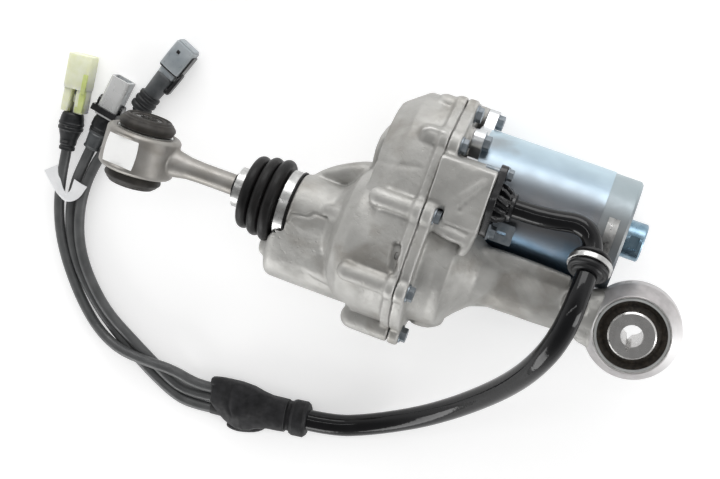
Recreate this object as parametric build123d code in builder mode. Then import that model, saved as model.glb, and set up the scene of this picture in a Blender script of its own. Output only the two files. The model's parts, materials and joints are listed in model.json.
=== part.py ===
from build123d import *
import math
import os

# Electric steering actuator with a ball screw, built between two link joints.
# The spindle axis is X. The origin is the centre of the housing eye's bore.
# The eye's bore runs along Z, the far joint's bore runs along Y, +Z points up.

# ---- driving dimensions, millimetres ----
joint_distance = 345.0      # eye centre to ball joint centre, mid stroke
stroke_each_way = 8.0       # rod travel either side of mid stroke
floor_z = -58.0             # surface that the object lies on

running_gap = 0.05          # radial clearance of shafts and press seats
free_gap = 0.3              # clearance where parts only come close

# bushing eye
bush_bore_radius = 7.1
bush_sleeve_radius = 15.2
bush_sleeve_half = 19.0
bush_rubber_radius = 22.0
bush_rubber_half = 16.0
bush_groove_offset = 3.4
bush_groove_depth = 2.0
eye_bore_radius = 23.5
eye_radius = 31.0
eye_half = 17.0
eye_rim_half = 6.0
eye_face_radius = 24.4
key_notch_depth = 3.6
key_notch_half_width = 2.2

# rod and ball joint
joint_body_radius = 25.5
joint_body_half = 14.0
joint_bore_radius = 19.0
joint_flat_depth = 1.5
joint_flat_angle = 102.0
joint_ball_radius = 15.0
joint_sleeve_radius = 9.0
joint_sleeve_half = 22.6
joint_bolt_radius = 6.1
joint_ring_width = 2.2
joint_ring_room = 3.4
liner_socket_half = 10.4     # the ball's seat ends here so that the sleeve can tilt
liner_relief_radius = 13.0
boot_rim_radius = 19.6
boot_height = 7.6
boot_edge = 1.6
boot_rim_lift = 2.2
boot_groove_margin = 4.4
boot_groove_width = 2.8
boot_groove_depth = 1.2
boot_groove_slope = 0.7
rod_radius = 7.1
rod_stub_radius = 5.0
rod_stub_length = 18.0
spindle_radius = 10.0
spindle_start_x = -262.0
spindle_end_x = -86.0
spindle_bore_clearance = 2.0

# bellows and clamps
small_clamp_x = -272.8
small_clamp_width = 6.0
small_clamp_radius = 13.6
large_clamp_x = -239.0
large_clamp_width = 6.0
large_clamp_radius = 23.4
clamp_thickness = 0.8
bellows_wall = 1.7
bellows_lip = 4.6
bellows_crests = [(-261.6, 25.0), (-253.1, 27.0), (-244.8, 28.4)]
bellows_valley_drop = 6.6
bellows_valley_shift = 4.2

# gear case, left casting
parting_x = -146.0
gasket_thickness = 0.6
case_radius = 50.0
lobe_y = 54.0
lobe_z = -9.0
lobe_radius = 46.0
case_front_x = -186.0
case_full_x = -171.0
case_front_taper = 38.0
case_front_step = 4.0       # the front edge is this much smaller than the case
neck_radius = 24.0
neck_start_x = -231.0
neck_flare = [(-199.0, 29.0), (-194.0, 39.0)]
neck_end_x = -204.0
spigot_start_x = -243.0
spigot_radius = 20.4
belly_start_x = -241.0
belly_y = -25.0
belly_z = -9.0
belly_radius = 26.0
belly_corner = 6.0
belly_end_margin = 10.0
clamp_room = 1.4
case_flange_thickness = 6.0
case_flange_rim = 3.0
case_ear_radius = 8.4
case_bolt_radius = 3.0
case_wall = 6.0
belt_chamber_depth = 20.0
nut_pulley_room = 3.4
motor_pulley_room = 4.0
end_plate_thickness = 7.0

# bolts round the gear case: the circle they follow, direction from its centre in degrees,
# distance outside it, start of boss, boss radius
case_bolts = [
    ("main", 52.50, 4.203, -175.0, 6.4),
    ("main", 109.69, 0.450, -179.0, 6.4),
    ("main", 173.66, 4.332, -172.0, 8.4),
    ("lobe", 14.35, -1.615, -159.0, 6.4),
    ("lobe", 57.03, -1.898, -160.0, 6.4),
    ("lobe", -52.88, 0.400, -168.0, 6.4),
    ("lobe", -116.23, -0.741, -168.0, 6.4),
    ("main", -113.92, 4.260, -172.0, 8.4),
]
bolt_length = 16.0
case_dowels = [("main", 86.35, -2.904), ("lobe", -81.98, -2.980)]
dowel_radius = 2.0
dowel_length = 11.0
bolt_head_radius = 5.0
bolt_head_height = 4.2
washer_thickness = 1.0
washer_margin = 0.9

# belt drive and ball nut
belt_x = -172.0
belt_width = 18.0
belt_thickness = 2.7
nut_pulley_teeth = 48
motor_pulley_teeth = 20
nut_pulley_hole_count = 6
nut_pulley_hole_radius = 5.0
tooth_pitch_radius = 0.75   # pulley radius per tooth
nut_start_x = -196.6
nut_end_x = -149.5
nut_race_radius = 21.6
nut_body_radius = 19.0
bearing_seat_radius = 27.5
bearing_start_x = -197.0
bearing_width = 18.0
bearing_ring_wall = 2.9
bearing_ball_radius = 1.45
bearing_ball_count = 24
bearing_row_offset = 4.5
lock_ring_width = 4.5
lock_ring_bore = 22.4

# spindle guide
guide_bush_length = 18.0
guide_bush_wall = 3.0
guide_key_x = -218.0
guide_key_length = 10.0
guide_key_width = 4.0
guide_key_height = 8.0
guide_slot_depth = 2.0
guide_slot_margin = 7.0

# arm between gear case and eye
bell_radius = 42.0
bell_end_x = -119.0
bell_taper = [(3.4, 36.0), (8.0, 30.0), (16.0, 22.0), (27.0, 18.2)]   # behind the bell's end
arm_radius = 17.6
arm_bore_end_x = -66.0
arm_full_end_x = -60.0
arm_slim_start_x = -34.0
arm_slim_radius = 16.6
arm_end_x = -10.0
arm_pocket_y = -14.0
arm_pocket_z = 4.0
arm_pocket_radius = 22.0
arm_pocket_end_x = -123.0

# motor
motor_y = 51.2
motor_z = -20.1
motor_radius = 37.9
motor_wall = 2.6
motor_flange_x = -134.0
motor_flange_thickness = 7.0
motor_case_end_x = -43.0
motor_cap_step = 0.7         # the cap is this much smaller than the can
motor_cap_end_x = -24.3
motor_cap_wall = 4.0
motor_cap_chamfer = 1.6
motor_hub_wall = 3.0
motor_pilot_radius = 22.0
motor_seat_wall = 6.0
motor_ear_reach = 6.6        # from the can to the middle of an ear
motor_ear_root_extra = 4.0
motor_ear_size = 7.0
motor_ear_angles = [45.0, -20.0, 222.0]
motor_shaft_radius = 5.0
motor_bearing_radius = 11.0
motor_bearing_width = 6.0
stator_bore_radius = 19.4
rotor_radius = 18.8
rotor_start_x = -116.0
rotor_end_x = -62.0
motor_plug_radius = 12.6
motor_plug_length = 12.4
motor_plug_shank = 8.0
motor_plug_shoulder = 3.1
motor_window = (6.4, 9.0)     # length and width of the window in the plug
motor_window_x = -18.1
motor_window_depth = 3.0
board_thickness = 1.6

motor_room = 1.2            # clearance between the motor and the castings
motor_bolt_radius = 3.0
motor_bolt_depth = 8.0
bolt_room = 0.3

# clip pad on the arm
clip_pad_x = -39.5
clip_pad_y = 6.0
clip_pad_low = 8.0
clip_pad_top = 20.0
clip_pad_length = 15.0
clip_pad_width = 12.0
clip_screw_radius = 2.5
clip_screw_length = 10.0

# cable gland on its block
plate_pad_x = -128.0
plate_pad_y = 56.3
plate_pad_length = 12.0
plate_pad_width = 24.0
plate_pad_height = 0.8
gland_passage_radius = 8.0
gland_screw_radius = 2.0
gland_screw_length = 10.0
block_end_x = -110.0
block_low_y = 29.0
block_high_y = 71.6
block_low_z = 19.8
block_top_z = 47.0
block_slope_width = 5.0
block_slope_height = 3.0
block_edge_radius = 2.0
gland_y = 53.0
gland_z = 33.0
gland_radius = 13.6
gland_flange_thickness = 5.0
gland_length = 16.0
gland_snout_radius = 8.6
gland_ear_offset = 18.4
gland_rib_count = 14
gland_socket_depth = 10.0
gland_ear_margin = 3.0
gland_cone_length = 8.0
gland_cone_step = 2.6
gland_rib = (4.4, 1.3, 6.0)   # reach, width and length of a rib
gland_rib_centre_step = 3.2
gland_bore_step = 1.5
gland_screw_margin = 1.8
gland_washer_margin = 2.6
gland_washer_thickness = 0.8
gland_screw_head = 2.8

# cables
lead_radius = 6.5
main_cable_radius = 7.6
branch_radius = 3.75
branch_lift = 0.5
branch_run_out = 12.0
branch_run_in = 13.0
lead_run_through = 8.5        # past the grommet's middle
main_run_out = 20.0
main_run_in = 20.0
grommet_x = -39.5
grommet_y = 38.0
grommet_z = 45.0
grommet_tilt = 40.0
grommet_radius = 12.4
grommet_groove_radius = 10.4
grommet_half = 7.0
clip_ring_width = 4.6
clip_ring_thickness = 1.5
clip_leg_width = 10.0
clip_leg_reach = 10.0
clip_screw_margin = 1.9
clip_screw_head = 3.4

gland_tab_thickness = 1.2
gland_tab_low_z = 19.2
gland_tab_width = 10.0
gland_tab_rise = 6.0
gland_tab_foot = (15.0, 13.0)
gland_tab_slot = (6.0, 2.0)
strap_x = -38.0
strap_width = 7.0
strap_thickness = 0.8
strap_span = (24.0, -42.0)    # the band is seen between these two directions from the motor's centre
strap_height = 60.0
strap_tongue_angle = 122.9
tongue_z = 15.0
label_thickness = 0.5
label_size = (24.0, 12.0)
label_back = 11.0            # from the end of its cable

# splitter: the collar is half width, half height, length; a section is distance, half width, half height
splitter_x = -186.0
splitter_y = -151.5
splitter_turn = 189.5       # direction from the main cable to the branches, degrees from +X
splitter_collar = (13.0, 10.4, 13.0)
splitter_sections = [(9.0, 11.0, 9.6), (27.0, 11.6, 9.6), (40.0, 15.8, 9.4), (56.0, 17.4, 8.6), (74.0, 15.4, 6.2)]
splitter_body_lift = 0.4    # the body behind the collar stays this far above the floor
branch_spread = 8.0
branch_rise = 3.4           # the crossing branch leaves the splitter this much higher

# plugs: end of the cable (x, y), direction in degrees from +X, height of the axis above the floor
plug_1 = (-413.5, -37.0, 95.0, 9.3)
plug_2 = (-398.0, -23.0, 80.0, 7.7)
plug_3 = (-371.5, 15.5, 67.0, 8.6)
backshell_1 = [(0, 4.9), (4, 5.6), (8, 5.4), (9, 7.6), (16, 7.8), (20, 8.7), (27, 9.2), (33, 9.0), (37, 8.2)]
backshell_2 = [(0, 4.8), (5, 5.2), (6, 6.4), (14, 6.2), (15, 7.4), (24, 7.5), (28, 6.6)]
backshell_3 = [(0, 4.6), (3, 5.2), (4, 7.9), (9, 8.2), (12, 7.6), (15, 8.2), (18, 7.8), (19, 6.6), (38, 7.0)]
connector_1 = (42.0, 18.4, 15.0)
connector_2 = (30.0, 15.0, 14.0)
connector_3 = (29.0, 16.6, 14.0)
connector_corner = 2.4
socket_depth = 3.6
socket_wall = 1.8
contact_radius = 0.5
contact_pitch = 3.6
lever_pin_radius = 2.0
lever_pin_back = 9.0
lever_arm_thickness = 2.0
lever_bar_height = 10.4
lever_bar_thickness = 2.6
lever_post = (2.6, 7.0)       # the posts' near and far edge, behind the pin

# worked out once
guide_slot_half = guide_key_length / 2 + stroke_each_way + guide_slot_margin
motor_cap_radius = motor_radius - motor_cap_step
motor_ear_radius = motor_radius + motor_ear_reach
nut_pulley_radius = nut_pulley_teeth * tooth_pitch_radius
motor_pulley_radius = motor_pulley_teeth * tooth_pitch_radius
joint_x = -joint_distance
branch_z = floor_z + branch_radius + branch_lift
splitter_direction = Vector(1, 0, 0).rotate(Axis.Z, splitter_turn)
splitter_side = Vector(0, 1, 0).rotate(Axis.Z, splitter_turn)
grommet_direction = Vector(
    0,
    -math.cos(math.radians(grommet_tilt)),
    math.sin(math.radians(grommet_tilt)),
)
grommet_centre = Vector(grommet_x, grommet_y, grommet_z)

os.makedirs("parts", exist_ok=True)


def case_place(circle, angle, outset):
    """Point (y, z) at a direction from the centre of one of the case's two circles, outside it."""
    centre_y, centre_z, radius = {"main": (0.0, 0.0, case_radius), "lobe": (lobe_y, lobe_z, lobe_radius)}[circle]
    turn = math.radians(angle)
    return centre_y + (radius + outset) * math.cos(turn), centre_z + (radius + outset) * math.sin(turn)


bolt_places = [(*case_place(*place), boss_x, boss_radius) for *place, boss_x, boss_radius in case_bolts]
dowel_places = [case_place(*place) for place in case_dowels]


def finish(piece, name):
    """Label a finished piece and write it to its file."""
    piece.part.label = name
    export_step(piece.part, f"parts/{name}.step")


def across(x):
    """Plane square to the spindle axis; its local x is +Y and its local y is +Z."""
    return Plane(origin=(x, 0, 0), x_dir=(0, 1, 0), z_dir=(1, 0, 0))


def along(y, z):
    """Plane that holds a line parallel to X through (y, z); local x is +X, local y is +Y."""
    return Plane(origin=(0, y, z), x_dir=(1, 0, 0), z_dir=(0, 0, 1))


def axis_along(y, z):
    """Axis parallel to X through (y, z)."""
    return Axis((0, y, z), (1, 0, 0))


def turned(profile, plane, axis, mode=Mode.ADD):
    """Revolve a closed outline inside the current part."""
    with BuildSketch(plane) as outline:
        with BuildLine():
            Polyline(*profile, close=True)
        make_face()
    revolve(outline.sketch, axis=axis, mode=mode)


def rod_along(x_from, x_to, y, z, radius, mode=Mode.ADD):
    """Cylinder parallel to X inside the current part."""
    with BuildSketch(across(x_from)) as disc:
        with Locations((y, z)):
            Circle(radius)
    extrude(disc.sketch, amount=x_to - x_from, mode=mode)


def two_circle_hull(y1, z1, r1, y2, z2, r2):
    """Outline that wraps two circles, inside the current sketch."""
    with Locations((y1, z1)):
        Circle(r1)
    with Locations((y2, z2)):
        Circle(r2)
    make_hull()


def case_outline(x, grow):
    """Sketch of the gear case outline at a station, grown or shrunk."""
    with BuildSketch(across(x)) as outline:
        two_circle_hull(0, 0, case_radius + grow, lobe_y, lobe_z, lobe_radius + grow)
    return outline.sketch


def case_ears(x):
    """Sketch of the bolt ears at a station."""
    with BuildSketch(across(x)) as ears:
        for bolt_y, bolt_z, boss_x, boss_radius in bolt_places:
            with Locations((bolt_y, bolt_z)):
                Circle(max(case_ear_radius, boss_radius))
    return ears.sketch


def corner_radii(points):
    """Bend radius at each corner: 0.45 of the shorter run over the tangent of half the turn."""
    radii = []
    for before, corner, after in zip(points, points[1:], points[2:]):
        run_in = Vector(corner) - Vector(before)
        run_out = Vector(after) - Vector(corner)
        half_turn = math.radians(run_in.get_angle(run_out) / 2)
        radii.append(0.45 * min(run_in.length, run_out.length) / math.tan(half_turn))
    return radii


def cable_tube(points, radii, radius, name):
    """Round tube along straight runs joined by tangent arcs."""
    with BuildPart() as tube:
        with BuildLine() as route:
            FilletPolyline(*points, radius=radii)
        start = Vector(points[1]) - Vector(points[0])
        with BuildSketch(Plane(origin=points[0], z_dir=start)):
            Circle(radius)
        sweep(path=route.wires()[0])
    length = route.wires()[0].length
    ratio = tube.part.volume / (math.pi * radius ** 2 * length)
    print(name, "length", round(length, 1), "volume ratio", round(ratio, 4))
    print("  radii", [round(value, 1) for value in radii])
    finish(tube, name)
    return length


# ---- bushing eye ----
def make_bushing():
    """Outer sleeve, rubber and keyed inner sleeve, all turned about Z."""
    rubber_outer = bush_rubber_radius - running_gap
    rubber_inner = bush_sleeve_radius + running_gap
    with BuildPart() as outer_sleeve:
        turned([(bush_rubber_radius, -eye_half), (eye_bore_radius - running_gap, -eye_half),
                (eye_bore_radius - running_gap, eye_half), (bush_rubber_radius, eye_half)],
               Plane.XZ, Axis.Z)
    finish(outer_sleeve, "bush_outer_sleeve")

    groove = rubber_inner + bush_groove_offset
    with BuildPart() as rubber:
        turned([(rubber_inner, -bush_rubber_half), (groove, bush_groove_depth - bush_rubber_half),
                (rubber_outer, -bush_rubber_half), (rubber_outer, bush_rubber_half),
                (groove, bush_rubber_half - bush_groove_depth), (rubber_inner, bush_rubber_half)],
               Plane.XZ, Axis.Z)
    finish(rubber, "bush_rubber")

    with BuildPart() as inner_sleeve:
        turned([(bush_bore_radius, -bush_sleeve_half), (bush_sleeve_radius - 1, -bush_sleeve_half),
                (bush_sleeve_radius, 1 - bush_sleeve_half), (bush_sleeve_radius, bush_sleeve_half - 1),
                (bush_sleeve_radius - 1, bush_sleeve_half), (bush_bore_radius, bush_sleeve_half)],
               Plane.XZ, Axis.Z)
        notch_tip = -bush_bore_radius - key_notch_depth
        with BuildSketch(Plane.XY.offset(-bush_sleeve_half)):
            with BuildLine():
                Polyline((-key_notch_half_width, -bush_bore_radius + 1), (0, notch_tip),
                         (key_notch_half_width, -bush_bore_radius + 1), close=True)
            make_face()
        extrude(amount=2 * bush_sleeve_half, mode=Mode.SUBTRACT)
    finish(inner_sleeve, "bush_inner_sleeve")


# ---- ball joint and rod ----
joint_plane = Plane(origin=(joint_x, 0, 0), x_dir=(1, 0, 0), z_dir=(0, 0, 1))
joint_axis = Axis((joint_x, 0, 0), (0, 1, 0))
neck_points = [(-326.0, 12.0), (-319.5, 9.4), (-311.0, 7.7), (-300.0, rod_radius)]
ring_seat = joint_body_half - joint_ring_width


def make_rod_end():
    """Forged rod end: a bored eye with a milled flat, its neck and its shank."""
    stub_end_x = spindle_start_x + rod_stub_length
    with BuildPart() as rod_end:
        turned([(0, -joint_body_half), (joint_body_radius - 2, -joint_body_half),
                (joint_body_radius, 2 - joint_body_half), (joint_body_radius, joint_body_half - 2),
                (joint_body_radius - 2, joint_body_half), (0, joint_body_half)],
               joint_plane, joint_axis)
        shank = [(joint_x, 0), (joint_x, neck_points[0][1])] + neck_points
        shank += [(spindle_start_x, rod_radius), (spindle_start_x, rod_stub_radius - running_gap),
                  (stub_end_x, rod_stub_radius - running_gap), (stub_end_x, 0)]
        turned(shank, along(0, 0), Axis.X)
        with BuildSketch(Plane(origin=(joint_x, -joint_body_half, 0), x_dir=(1, 0, 0), z_dir=(0, 1, 0))):
            Circle(joint_bore_radius)
        extrude(amount=2 * joint_body_half, mode=Mode.SUBTRACT)
        flat_normal = Vector(math.cos(math.radians(joint_flat_angle)), 0, math.sin(math.radians(joint_flat_angle)))
        flat_origin = Vector(joint_x, 0, 0) + flat_normal * (joint_body_radius - joint_flat_depth)
        with BuildSketch(Plane(origin=flat_origin, x_dir=(0, 1, 0), z_dir=flat_normal)):
            Rectangle(1.5 * joint_body_half, joint_body_radius)
        extrude(amount=joint_flat_depth + 1, mode=Mode.SUBTRACT)
    finish(rod_end, "rod_end")


def make_ball_joint():
    """Ball sleeve, its liner, retaining ring and two boots, all turned about the joint axis."""
    ball_half = math.sqrt(joint_ball_radius ** 2 - joint_sleeve_radius ** 2)
    with BuildPart() as ball_sleeve:
        with BuildSketch(joint_plane):
            with BuildLine():
                Line((joint_bolt_radius, -joint_sleeve_half), (joint_sleeve_radius, -joint_sleeve_half))
                Line((joint_sleeve_radius, -joint_sleeve_half), (joint_sleeve_radius, -ball_half))
                ThreePointArc((joint_sleeve_radius, -ball_half), (joint_ball_radius, 0),
                              (joint_sleeve_radius, ball_half))
                Line((joint_sleeve_radius, ball_half), (joint_sleeve_radius, joint_sleeve_half))
                Line((joint_sleeve_radius, joint_sleeve_half), (joint_bolt_radius, joint_sleeve_half))
                Line((joint_bolt_radius, joint_sleeve_half), (joint_bolt_radius, -joint_sleeve_half))
            make_face()
        revolve(axis=joint_axis)
    finish(ball_sleeve, "ball_sleeve")

    socket_radius = joint_ball_radius + running_gap
    liner_half = ring_seat - running_gap
    liner_mouth = math.sqrt(socket_radius ** 2 - liner_socket_half ** 2)
    liner_outer = joint_bore_radius - running_gap
    with BuildPart() as liner:
        with BuildSketch(joint_plane):
            with BuildLine():
                Polyline((liner_mouth, -liner_socket_half), (liner_relief_radius, -liner_half),
                         (liner_outer, -liner_half), (liner_outer, liner_half),
                         (liner_relief_radius, liner_half), (liner_mouth, liner_socket_half))
                ThreePointArc((liner_mouth, liner_socket_half), (socket_radius, 0),
                              (liner_mouth, -liner_socket_half))
            make_face()
        revolve(axis=joint_axis)
    finish(liner, "joint_liner")

    ring_bore = joint_sleeve_radius + joint_ring_room
    with BuildPart() as rings:
        for side in (-1, 1):
            turned([(ring_bore, side * ring_seat), (liner_outer, side * ring_seat),
                    (liner_outer, side * joint_body_half), (ring_bore, side * joint_body_half)],
                   joint_plane, joint_axis)
    finish(rings, "joint_rings")

    boot_bore = joint_sleeve_radius + running_gap
    boot_floor = joint_body_half + running_gap
    boot_top = joint_body_half + boot_height
    groove_outer = boot_rim_radius - boot_groove_margin
    groove_inner = groove_outer - boot_groove_width
    groove_floor = boot_top - boot_groove_depth
    for side, name in ((1, "upper_boot"), (-1, "lower_boot")):
        with BuildPart() as boot:
            turned([(boot_bore, side * (boot_floor + 0.4)), (joint_bore_radius - 1, side * boot_floor),
                    (boot_rim_radius, side * (boot_floor + boot_rim_lift)),
                    (boot_rim_radius, side * (boot_top - boot_edge)), (boot_rim_radius - boot_edge, side * boot_top),
                    (groove_outer, side * boot_top), (groove_outer - boot_groove_slope, side * groove_floor),
                    (groove_inner + boot_groove_slope, side * groove_floor), (groove_inner, side * boot_top),
                    (boot_bore, side * boot_top)],
                   joint_plane, joint_axis)
        finish(boot, name)


def make_spindle():
    """Ball screw spindle with its socket for the rod and its guide slot."""
    with BuildPart() as spindle:
        turned([(spindle_start_x, rod_stub_radius), (spindle_start_x, spindle_radius - 0.8),
                (spindle_start_x + 0.8, spindle_radius), (spindle_end_x - 1, spindle_radius),
                (spindle_end_x, spindle_radius - 1), (spindle_end_x, 0),
                (spindle_start_x + rod_stub_length + 0.5, 0),
                (spindle_start_x + rod_stub_length + 0.5, rod_stub_radius)],
               along(0, 0), Axis.X)
        slot_floor = spindle_radius - guide_slot_depth
        with BuildSketch(Plane.XY.offset(slot_floor)):
            with Locations((guide_key_x, 0)):
                SlotOverall(2 * guide_slot_half, guide_key_width + 2 * running_gap)
        extrude(amount=guide_slot_depth + 1, mode=Mode.SUBTRACT)
    finish(spindle, "spindle")


# ---- bellows ----
def bellows_outline():
    """Outer line of the bellows from its small collar to its large collar, as (x, radius)."""
    line = [(small_clamp_x - bellows_lip, small_clamp_radius - 3.6), (small_clamp_x - 3.2, small_clamp_radius - 0.9),
            (small_clamp_x, small_clamp_radius - clamp_thickness - running_gap),
            (small_clamp_x + small_clamp_width, small_clamp_radius - clamp_thickness - running_gap)]
    for crest_x, crest_radius in bellows_crests:
        line.append((crest_x - bellows_valley_shift, crest_radius - bellows_valley_drop))
        line.append((crest_x - 1.5, crest_radius))
        line.append((crest_x + 1.5, crest_radius))
    seat = large_clamp_radius - clamp_thickness - running_gap
    line.append((large_clamp_x - 0.8, seat))
    line.append((large_clamp_x + large_clamp_width + 1.6, seat))
    return line


def make_bellows():
    """Rubber bellows with three convolutions, and the two band clamps that hold it."""
    outer = bellows_outline()
    collar_inner = rod_radius + running_gap
    spigot_inner = spigot_radius + running_gap
    inner = [(outer[-1][0], spigot_inner), (large_clamp_x - 3.4, spigot_inner)]
    for crest_x, crest_radius in reversed(bellows_crests):
        inner.append((crest_x, crest_radius - bellows_wall))
        inner.append((crest_x - bellows_valley_shift, crest_radius - bellows_valley_drop - bellows_wall))
    inner.append((small_clamp_x + small_clamp_width, collar_inner))
    inner.append((outer[0][0], collar_inner))
    with BuildPart() as bellows:
        turned(outer + inner, along(0, 0), Axis.X)
    finish(bellows, "bellows")

    for name, clamp_x, width, radius in (("small_clamp", small_clamp_x, small_clamp_width, small_clamp_radius),
                                         ("large_clamp", large_clamp_x, large_clamp_width, large_clamp_radius)):
        with BuildPart() as clamp:
            turned([(clamp_x, radius - clamp_thickness), (clamp_x, radius), (clamp_x + width, radius),
                    (clamp_x + width, radius - clamp_thickness)], along(0, 0), Axis.X)
        finish(clamp, name)


# ---- castings ----
def case_holes(x_from, x_to, radius):
    """Cut the gear case bolt holes and dowel holes between two stations of the current part."""
    for pin_y, pin_z in dowel_places:
        rod_along(max(x_from, parting_x - dowel_length / 2 - 0.2), min(x_to, parting_x + dowel_length / 2 + 0.2),
                  pin_y, pin_z, dowel_radius + running_gap, mode=Mode.SUBTRACT)
    for bolt_y, bolt_z, boss_x, boss_radius in bolt_places:
        rod_along(x_from, x_to, bolt_y, bolt_z, radius, mode=Mode.SUBTRACT)


def domed_boss(x_from, y, z, radius):
    """Boss parallel to X with a round end, up to the parting plane, inside the current part."""
    slant = radius * math.sqrt(0.5)
    with BuildSketch(along(y, z)) as outline:
        with BuildLine():
            ThreePointArc((x_from - radius, 0), (x_from - slant, slant), (x_from, radius))
            Polyline((x_from, radius), (parting_x, radius), (parting_x, 0), (x_from - radius, 0))
        make_face()
    revolve(outline.sketch, axis=axis_along(y, z))


def make_belly():
    """Cast belly beside the neck, hollowed round the bellows clamp."""
    with BuildPart() as belly:
        with BuildSketch(across(belly_start_x)):
            two_circle_hull(0, 0, neck_radius - 0.2, belly_y, belly_z, belly_radius)
        extrude(amount=parting_x - belly_start_x - belly_end_margin)
        fillet(belly.faces().sort_by(Axis.X)[0].edges(), radius=belly_corner)
        rod_along(spigot_start_x, neck_start_x, 0, 0, large_clamp_radius + clamp_room, mode=Mode.SUBTRACT)
    return belly.part


def make_gear_housing():
    """Left casting: neck, belly, bearing seat and belt case with its bolt bosses."""
    spindle_bore = spindle_radius + spindle_bore_clearance
    rim_x = parting_x - case_flange_thickness
    cavity_radius = nut_pulley_radius + belt_thickness + nut_pulley_room
    small_cavity = motor_pulley_radius + belt_thickness + motor_pulley_room
    seat_end_x = bearing_start_x + bearing_width + lock_ring_width
    belly = make_belly()
    with BuildPart() as housing:
        turned([(spigot_start_x, 0), (spigot_start_x, spigot_radius - 0.6), (spigot_start_x + 1, spigot_radius),
                (neck_start_x, spigot_radius), (neck_start_x, neck_radius - 0.8), (neck_start_x + 0.8, neck_radius),
                (neck_end_x, neck_radius), *neck_flare, (case_front_x, case_radius - case_front_step),
                (case_full_x, case_radius), (parting_x, case_radius), (parting_x, 0)], along(0, 0), Axis.X)
        extrude(case_outline(case_full_x, 0), amount=case_front_x - case_full_x, taper=case_front_taper)
        extrude(case_outline(case_full_x, 0), amount=parting_x - case_full_x)
        for bolt_y, bolt_z, boss_x, boss_radius in bolt_places:
            domed_boss(boss_x, bolt_y, bolt_z, boss_radius)
        extrude(case_outline(rim_x, case_flange_rim), amount=case_flange_thickness)
        extrude(case_ears(rim_x), amount=case_flange_thickness)
        add(belly)
        rod_along(spigot_start_x, bearing_start_x, 0, 0, spindle_bore, mode=Mode.SUBTRACT)
        rod_along(spigot_start_x, spigot_start_x + guide_bush_length + 1, 0, 0,
                  spindle_radius + guide_bush_wall, mode=Mode.SUBTRACT)
        rod_along(bearing_start_x, seat_end_x, 0, 0, bearing_seat_radius, mode=Mode.SUBTRACT)
        with BuildSketch(across(seat_end_x)):
            two_circle_hull(0, 0, cavity_radius, motor_y, motor_z, small_cavity)
        extrude(amount=parting_x - seat_end_x, mode=Mode.SUBTRACT)
        extrude(case_outline(parting_x - belt_chamber_depth, -case_wall), amount=belt_chamber_depth,
                mode=Mode.SUBTRACT)
        for bolt_y, bolt_z, boss_x, boss_radius in bolt_places:
            rod_along(max(boss_x, parting_x - belt_chamber_depth), parting_x, bolt_y, bolt_z, boss_radius)
        with BuildSketch(Plane.XY.offset(spindle_radius - guide_slot_depth)):
            with Locations((guide_key_x, 0)):
                Rectangle(guide_key_length + 2 * running_gap, guide_key_width + 2 * running_gap)
        extrude(amount=guide_key_height, mode=Mode.SUBTRACT)
        case_holes(parting_x - bolt_length - 1, parting_x, case_bolt_radius + running_gap)
    return housing


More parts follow.
